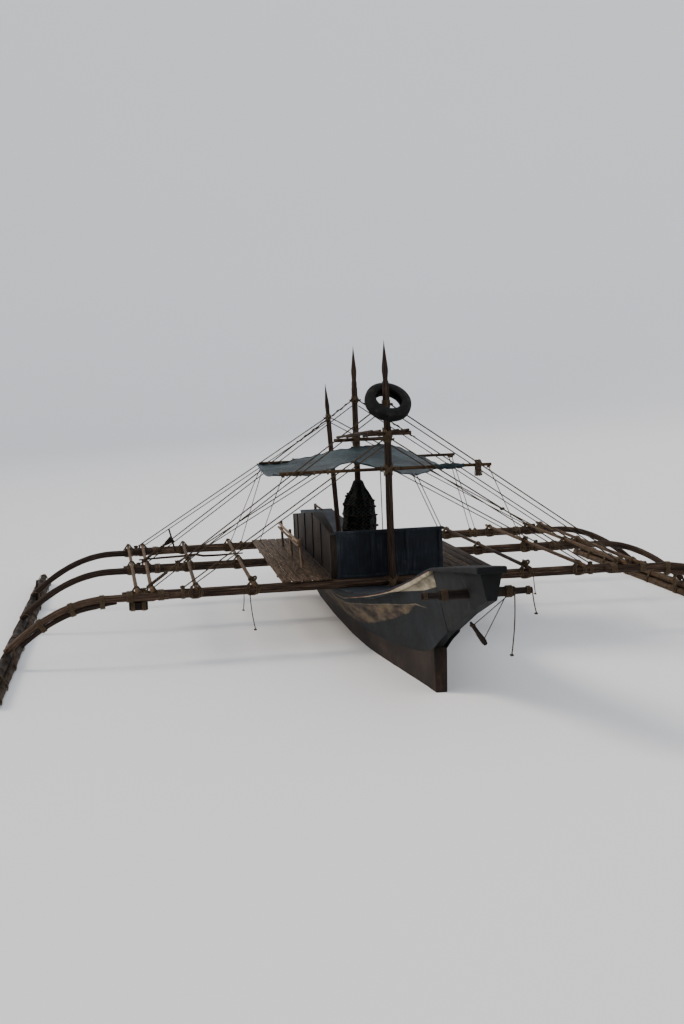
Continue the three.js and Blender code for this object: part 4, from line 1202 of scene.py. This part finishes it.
def side_stamp(name, circles, turns=5, steps=24):
    """Side-by-side turns round circles (y, z, radius), stacked along X."""
    loops = []
    for k in range(turns):
        x = (k - (turns - 1) / 2) * 2.25 * CORD_R
        loops.append(([Vector((x, y, z)) for y, z in drawn_tight(circles, steps)], (1, 0, 0)))
    return cord_stamp(name, loops)


def stamp_into(bm, mesh, place):
    """Adds a copy of a stamp, at a point or where a matrix puts it."""
    matrix = place if isinstance(place, Matrix) else Matrix.Translation(place)
    before = len(bm.verts)
    bm.from_mesh(mesh)
    bm.verts.ensure_lookup_table()
    bmesh.ops.transform(bm, matrix=matrix, verts=bm.verts[before:])


def frame_at(spot, x, z):
    """The matrix that puts a stamp at a spot, its X along x and its Z along z."""
    x, z = Vector(x), Vector(z)
    matrix = Matrix((x, z.cross(x), z)).transposed().to_4x4()
    matrix.translation = spot
    return matrix


over_boom = cross_stamp("cord_over_boom", BOOM_R, POLE_R)
arm_on_boom = side_stamp("cord_arm_on_boom", [(0, 0, BOOM_R), (-BOOM_R - ARM_R, 0, ARM_R)], 6)
round_boom = side_stamp("cord_round_boom", [(0, 0, BOOM_R)], 4)
bm = bmesh.new()
for y in BOOM_Y.values():
    for _, side in SIDES:
        for row in range(4):
            stamp_into(bm, over_boom, (side * pole_out(row, y), y, BOOM_Z))
        for x in (2.74, 3.10):
            stamp_into(bm, arm_on_boom, (side * x, y, BOOM_Z))
round_double = side_stamp("cord_round_double", [(0, 0, 0.045), (0, -DOUBLE_GAP - DOUBLE_R, DOUBLE_R)], 5)
for _, side in SIDES:
    for x in (3.42, 3.78, 4.14):
        axis, ahead, up = under_arm(x, 0, side)
        stamp_into(bm, round_double, frame_at(axis, ahead, up))
for _, end in stay_ends.values():
    stamp_into(bm, round_boom, (end.x, end.y, BOOM_Z))
for _, _, boom, boom_x in TIE_DOWNS:
    stamp_into(bm, round_boom, (boom_x, BOOM_Y[boom], BOOM_Z))
place_piece(bm, "boom_lashings", lashing_cord, crease=70)

float_circles = [(out, z, FLOAT_R) for out, z in FLOAT_CANES]
round_float = side_stamp("cord_round_float", float_circles, 4, 36)
arm_on_float = side_stamp("cord_arm_on_float", float_circles + [(0.055, 0.222, 0.044)], 4, 40)
bm = bmesh.new()
for _, side in SIDES:
    along_float = frame_at(Vector((side * FLOAT_X, 0, 0)), (0, side, 0), (0, 0, 1))
    for y in BOOM_Y.values():
        arm_y = y - BOOM_R - ARM_R
        for off in (-0.035, 0.030):
            stamp_into(bm, arm_on_float, Matrix.Translation((0, arm_y + off, 0)) @ along_float)
    for y in (-4.30, -3.60, -1.30, 1.00, 3.00, 3.80, 4.40):
        stamp_into(bm, round_float, Matrix.Translation((0, y, 0)) @ along_float)
place_piece(bm, "float_lashings", lashing_cord, crease=70)

bm = bmesh.new()
for key, m in MASTS.items():
    stamp = cross_stamp(f"cord_mast_{key}", BOOM_R, mast_r(m, BOOM_Z), 4)
    stamp_into(bm, stamp, frame_at(Vector((0, BOOM_Y[key], BOOM_Z)), (1, 0, 0), (0, -1, 0)))
for key, facing in (("bow", 1), ("mid", -1)):
    # the spar crosses on one side of its mast, and the rack's pole on the other
    for z, pole_r, away in ((SPAR_Z, SPAR_R, facing), (RACK_Z[key], 0.025, -facing)):
        stamp = cross_stamp(f"cord_{key}_{away}", mast_r(MASTS[key], z), pole_r)
        stamp_into(bm, stamp, frame_at(Vector((0, MASTS[key]["y"], z)), (0, 0, 1), (0, away, 0)))
for place, word in STAYS:
    m = MASTS[place]
    start = stay_ends[f"stay_{place}_{word}_port"][0]
    ring = side_stamp(f"cord_stay_{place}_{word}", [(0, 0, mast_r(m, start.z))], 7)
    spot = Vector((mast_x(m, start.z), m["y"], start.z + 0.01))
    stamp_into(bm, ring, frame_at(spot, (0, 0, 1), (1, 0, 0)))
place_piece(bm, "mast_lashings", lashing_cord, crease=70)

LACES = 14
bm = bmesh.new()
for key, t in (("bow", 0.0), ("mid", 1.0)):
    low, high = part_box(f"spreader_{key}")
    for i in range(LACES + 1):
        spot = awning_point(min(max(i / LACES, 0.01), 0.99), t)
        on_spar = low.x + 0.03 < spot.x < min(high.x - 0.03, 0.55)
        # a lace is tied only where the hem comes near its spar
        if on_spar and abs(spot.z - SPAR_Z) <= 0.05:
            circles = [(spar_y[key], SPAR_Z, SPAR_R), (spot.y, spot.z, HEM_R)]
            stamp_into(bm, side_stamp(f"cord_lace_{key}_{i}", circles, 2), (spot.x, 0, 0))
place_piece(bm, "awning_laces", lashing_cord, crease=70)


# Knots, pulley block and chock
# Each stay ends in a knot on its boom. A wooden pulley block and its tackle turns tighten a port stay,
# a coil of spare cord hangs on the forward spar, and a chock is tied under the bow boom's port end.
KNOT_STEPS = 44


def knot_into(bm, spot, size, turn=0.0):
    """Adds an overhand knot of cord, drawn up tight: a trefoil, flattened a little."""
    path = []
    for i in range(KNOT_STEPS):
        a = 2 * math.pi * i / KNOT_STEPS
        x, y = math.sin(a) + 2 * math.sin(2 * a), math.cos(a) - 2 * math.cos(2 * a)
        point = Matrix.Rotation(turn, 3, "Z") @ Vector((x, y, -1.2 * math.sin(3 * a)))
        path.append(point * size / 6 + Vector(spot))
    sweep_into(bm, path, size * 0.14, sides=8, closed=True, back=(0.3, 0.2, 1))


bm = bmesh.new()
for start, end in stay_ends.values():
    knot_into(bm, end + Vector((0, -0.005, 0.012)), 0.055, rng.uniform(0, 3))
    knot_into(bm, start + Vector((math.copysign(0.012, start.x), -0.004, 0)), 0.045, rng.uniform(0, 3))
for spar, spar_x, boom, boom_x in TIE_DOWNS:
    knot_into(bm, Vector((boom_x, BOOM_Y[boom], BOOM_Z + BOOM_R + 0.008)), 0.038, rng.uniform(0, 3))
    knot_into(bm, Vector((spar_x, spar_y[spar], SPAR_Z - 0.030)), 0.040, rng.uniform(0, 3))
for i in range(5):
    # a row of five knots on the middle mast's neck
    spot = (0.012 * i - 0.03, MASTS["mid"]["y"] - 0.052, 2.895 + 0.012 * (i % 2))
    knot_into(bm, spot, 0.06, 0.7 * i)
for _, side in SIDES:
    knot_into(bm, Vector((side * pole_out(0, BOOM_Y["bow"]), BOOM_Y["bow"] - 0.01, 0.892)), 0.095, side)
    knot_into(bm, Vector((side * pole_out(1, BOOM_Y["mid"]), BOOM_Y["mid"], 0.886)), 0.075, side)
knot_into(bm, Vector((1.105, spar_y["bow"] - 0.01, SPAR_Z + 0.040)), 0.075)
start, end = stay_ends["stay_bow_lower_starboard"]
knot_into(bm, start.lerp(end, 0.55), 0.055)
place_piece(bm, "knots", stay_rope, crease=70)
coil = side_stamp("cord_coil", [(0, 0, 0.026), (-0.004, -0.095, 0.030)], 3, 36)
coiled = side_stamp("cord_coil_middle", [(0, -0.046, 0.034)], 4)
bm = bmesh.new()
for loops, x, tilt in ((coil, 1.090, 0.10), (coil, 1.112, -0.14), (coil, 1.125, 0.24), (coiled, 1.105, 0.05)):
    turn = Matrix.Rotation(tilt, 4, "Y")
    stamp_into(bm, loops, Matrix.Translation((x, spar_y["bow"], SPAR_Z)) @ turn)
place_piece(bm, "coil_of_spare_cord", stay_rope, crease=70)

bm = bmesh.new()
for node, share in (("stay_mid_upper_port", 0.87), ("stay_bow_upper_port", 0.90)):
    for begin in (0, math.pi):
        sweep_into(bm, wound(*stay_ends[node], share, 0.985, 60, 0.6, 0.016, begin), 0.0085, sides=8)
place_piece(bm, "tackle_turns", stay_rope, crease=70)

start, end = stay_ends["stay_mid_upper_port"]
spot = start.lerp(end, 0.86)
ahead = (end - start).normalized()
aside = ahead.cross(Vector((0, 1, 0))).normalized()
bm = bmesh.new()
board_into(bm, (-0.048, -0.022, -0.065), (0.048, 0.022, 0.065), ease=0.018)
for vert in bm.verts:
    # the block narrows towards its tackle
    vert.co.x *= 0.72 - 4.2 * vert.co.z
bmesh.ops.create_cone(bm, cap_ends=True, segments=24, radius1=0.026, radius2=0.026, depth=0.05,
                      matrix=Matrix.Rotation(math.pi / 2, 4, "X"))
bmesh.ops.transform(bm, verts=bm.verts, matrix=frame_at(spot, aside, ahead))
pin = straight(spot + Vector((0.010, 0, 0.165)), spot + Vector((0.082, 0, -0.133)), 6)
sweep_into(bm, pin, 0.0115, sides=14)
TARRED_TONES = ["#090706", "#120d0b", "#1d1612", "#2b221b", "#3e3229"]
tarred_timber = grained_timber("tar-black hardwood", TARRED_TONES)
place_piece(bm, "pulley_block", tarred_timber, crease=50)

bm = bmesh.new()
board_into(bm, (-3.115, -2.475, 0.600), (-2.895, -2.375, 0.697), 0.3, 0.010)
place_piece(bm, "boom_chock", tarred_timber)
chock = side_stamp("cord_chock", [(0, 0, BOOM_R), (-0.075, -0.150, 0.008), (0.025, -0.150, 0.008)], 4)
bm = bmesh.new()
for x in (-3.07, -2.94):
    stamp_into(bm, chock, (x, BOOM_Y["bow"], BOOM_Z))
place_piece(bm, "chock_lashing", lashing_cord, crease=70)


# Bow crossbeam
# A turned hardwood beam through the bow block, thick inboard with thinner horns, wound with a few
# turns of rope. A wooden toggle hangs under it on two taut cords.
CROSS_Y, CROSS_Z = -6.800, 1.260
HORN = [
    # x and radius from a horn's end to its shoulder
    (-0.510, 0.024), (-0.504, 0.0295), (-0.372, 0.0305), (-0.352, 0.032), (-0.348, 0.040), (-0.338, 0.0445)]
middle = [(-0.338 + 0.676 * i / 10, 0.0445) for i in range(1, 10)]
rows = HORN + middle + [(-x, radius) for x, radius in reversed(HORN)]
path = [(x, CROSS_Y, CROSS_Z) for x, _ in rows]
bm = swept(path, [radius for _, radius in rows], sides=28, tone=0.3, back=(0, 0, -1))
place_piece(bm, "crossbeam", tarred_timber, ["bow_crossbeam"], crease=50)
horn = side_stamp("cord_horn", [(0, 0, 0.031)], 3)
thick = side_stamp("cord_beam", [(0, 0, 0.045)], 5)
bm = bmesh.new()
for stamp, x in ((horn, -0.47), (horn, 0.47), (thick, -0.30), (thick, 0.29)):
    stamp_into(bm, stamp, (x, CROSS_Y, CROSS_Z))
TOGGLE = (Vector((0.030, -6.395, 0.925)), Vector((0.105, -6.640, 0.765)))
for x, share in ((0.275, 0.15), (0.262, 0.85)):
    end = TOGGLE[0].lerp(TOGGLE[1], share)
    cord = straight(Vector((x, CROSS_Y, CROSS_Z - 0.045)), end, 5)
    sweep_into(bm, cord, 0.0045, sides=8, back=(1, 0, 0))
    knot_into(bm, end, 0.05)
place_piece(bm, "crossbeam_cords", stay_rope, crease=70)
TOGGLE_RADII = [0.012, 0.017, 0.019, 0.020, 0.022, 0.024, 0.026, 0.027, 0.020]
bm = swept(pole_path(*TOGGLE, 8, 0.004), TOGGLE_RADII, sides=18, tone=0.2, back=(1, 0, 0))
place_piece(bm, "wooden_toggle", tarred_timber, crease=50)


# Hanging rope ends
# Short spare ends of three-strand rope hang limp from the crossbeam and the booms. Each is stopped
# by an overhand knot at its end.
HANGING = [
    # name, where it leaves, length, radius, sway to starboard
    ("crossbeam", (0.332, -6.8505, 1.262), 0.56, 0.0060, -0.040),
    ("crossbeam_horn", (0.500, -6.8365, 1.262), 0.20, 0.0055, 0.030),
    ("bow_boom_port", (-1.700, -2.4635, 0.758), 0.46, 0.0060, 0.045),
    ("bow_boom_port_short", (-1.770, -2.4635, 0.758), 0.22, 0.0050, -0.015),
    ("bow_boom_starboard", (1.740, -2.4635, 0.758), 0.24, 0.0055, 0.020),
]
for name, spot, length, radius, sway in HANGING:
    path = []
    for i in range(25):
        share = i / 24
        sag = -0.012 * math.sin(math.pi * share)
        path.append(Vector(spot) + Vector((sway * share ** 2, sag, -length * share)))
    bm = swept(path, radius, sides=12)
    rope_end = place_piece(bm, f"rope_end_{name}", stay_rope, crease=70)
    bm = bmesh.new()
    knot_into(bm, path[-1] + Vector((0, 0, -0.012)), 5.5 * radius)
    stopper = place_piece(bm, f"stopper_knot_{name}", stay_rope, crease=70)


# Rudder and its bracket
# The rudder hangs on a round hardwood stock in two galvanised gudgeons on the stern: a thick plank
# blade with a thinned trailing edge, two iron straps, and a tapered tiller.
galvanised = worn_metal("dull galvanised steel", ["#3a3a38", "#545452", "#6d6d6a", "#5b4536"], 0.5, 0.8, 22)
dressed_copy("rudder_bracket", "gudgeon_bracket", galvanised, 0.002)
BRACKET_FACE = 4.664
bm = bmesh.new()
bolts = [(x, BRACKET_FACE, z) for x in (-0.042, 0.042) for z in (0.675, 0.745, 0.815)]
heads_into(bm, bolts, (0, 1, 0), 0.010, 0.007)
place_piece(bm, "bracket_bolts", galvanised)

low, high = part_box("rudder")
STOCK_Y = 4.720
TILLER_Z = 1.065
COLLAR = [
    # height, radius
    (0.8903, 0.036), (0.8935, 0.043), (0.9165, 0.043), (0.9198, 0.036)]
TILLER = [
    # y, radius
    (3.882, 0.012), (3.888, 0.0165), (3.93, 0.0185), (4.02, 0.0165), (4.35, 0.0175), (4.66, 0.0195),
    (4.748, 0.0195), (4.752, 0.016)]
bm = bmesh.new()
path = [(0, STOCK_Y, low.z + (high.z - low.z) * i / 24) for i in range(25)]
sweep_into(bm, path, 0.0238, sides=24, tone=0.3, back=(1, 0, 0))
path = [(0, STOCK_Y, z) for z, _ in COLLAR]
sweep_into(bm, path, [radius for _, radius in COLLAR], sides=24, tone=0.6, back=(1, 0, 0))
path = [(0, y, TILLER_Z) for y, _ in TILLER]
sweep_into(bm, path, [radius for _, radius in TILLER], sides=20, tone=0.5, back=(1, 0, 0))
place_piece(bm, "stock_and_tiller", dark_timber, ["rudder"], "rudder", 50)
blade_wood = grained_timber("sea-worn plank", DARK_TONES, "Object", (30, 30, 2.4), (60, 60, 3))
bm = bmesh.new()
board_into(bm, (-0.014, STOCK_Y + 0.012, low.z), (0.014, high.y, 0.130), 0.4, 0.009)
for vert in bm.verts:
    vert.co.x *= 1 - 0.55 * max(0, (vert.co.y - 4.90) / (high.y - 4.90))
    if vert.co.z < low.z + 0.03:
        vert.co.z += 0.06 * max(0, (vert.co.y - 4.80) / (high.y - 4.80))
place_piece(bm, "rudder_blade", blade_wood, body="rudder")
STRAP_IN, STRAP_OUT, STRAP_WIDE = 0.0138, 0.0265, 0.032
bm = bmesh.new()
for z in (-0.330, 0.020):
    top = z + STRAP_WIDE
    board_into(bm, (-STRAP_OUT, STOCK_Y - 0.028, z), (-STRAP_IN, STOCK_Y + 0.190, top), ease=0.002)
    board_into(bm, (STRAP_IN, STOCK_Y - 0.028, z), (STRAP_OUT, STOCK_Y + 0.190, top), ease=0.002)
    board_into(bm, (-STRAP_OUT, STOCK_Y - 0.032, z), (STRAP_OUT, STOCK_Y - 0.0235, top), ease=0.002)
    for side in (-1, 1):
        bolts = [(side * STRAP_OUT, STOCK_Y + y, z + STRAP_WIDE / 2) for y in (0.06, 0.11, 0.16)]
        heads_into(bm, bolts, (side, 0, 0), 0.007, 0.004)
place_piece(bm, "rudder_straps", galvanised, body="rudder")


# Propeller
# A small three-bladed bronze propeller on a steel shaft, cast with twisted, rounded blades and
# dulled brown-green by salt; the shaft is given the same bronze.
bronze = worn_metal("sea-dulled cast bronze", ["#2b241a", "#4d3d22", "#74592c", "#46503c"], 0.42, 0.9, 30)
PROP = Vector((0, 4.375, -0.150))
low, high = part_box("propeller")
SHAFT_R = 0.0158
SHAFT_AND_HUB = [
    # y, radius
    (low.y, SHAFT_R), (4.345, SHAFT_R), (4.3455, 0.030), (4.352, 0.0335), (4.385, 0.0325), (4.405, 0.026),
    (4.416, 0.0235), (4.4165, 0.017), (high.y - 0.0005, 0.011)]
path = [(0, y, PROP.z) for y, _ in SHAFT_AND_HUB]
bm = swept(path, [radius for _, radius in SHAFT_AND_HUB], sides=28, back=(0, 0, 1))
place_piece(bm, "shaft_and_hub", bronze, ["propeller"], "propeller", 40)
HUB_R, TIP_R, PITCH = 0.026, 0.149, 0.155
blades = bmesh.new()
for k in range(3):
    away = Matrix.Rotation(2 * math.pi * k / 3, 3, "Y") @ Vector((0, 0, 1))
    around = away.cross(Vector((0, 1, 0)))

    def blade_point(s, t):
        """A point of a blade: s across it and t out from the hub, from 0 to 1."""
        radius = HUB_R + (TIP_R - HUB_R) * t
        pitch = math.atan2(PITCH, 2 * math.pi * radius)
        width = 0.020 + 0.075 * math.sin(math.pi * (0.12 + 0.80 * t)) ** 0.8 * (1 - t ** 7) ** 0.5
        chord = around * math.cos(pitch) + Vector((0, 1, 0)) * math.sin(pitch)
        return PROP + away * radius + chord * width * (s - 0.5) * (0.35 if t > 0.999 else 1)

    blade = bent_grid(10, 16, blade_point, lambda s, t: (s, t))
    bmesh.ops.solidify(blade, geom=blade.faces[:], thickness=0.006)
    mesh = bpy.data.meshes.new("blade")
    blade.to_mesh(mesh)
    blades.from_mesh(mesh)
bmesh.ops.recalc_face_normals(blades, faces=blades.faces)
place_piece(blades, "propeller_blades", bronze, body="propeller", crease=50)
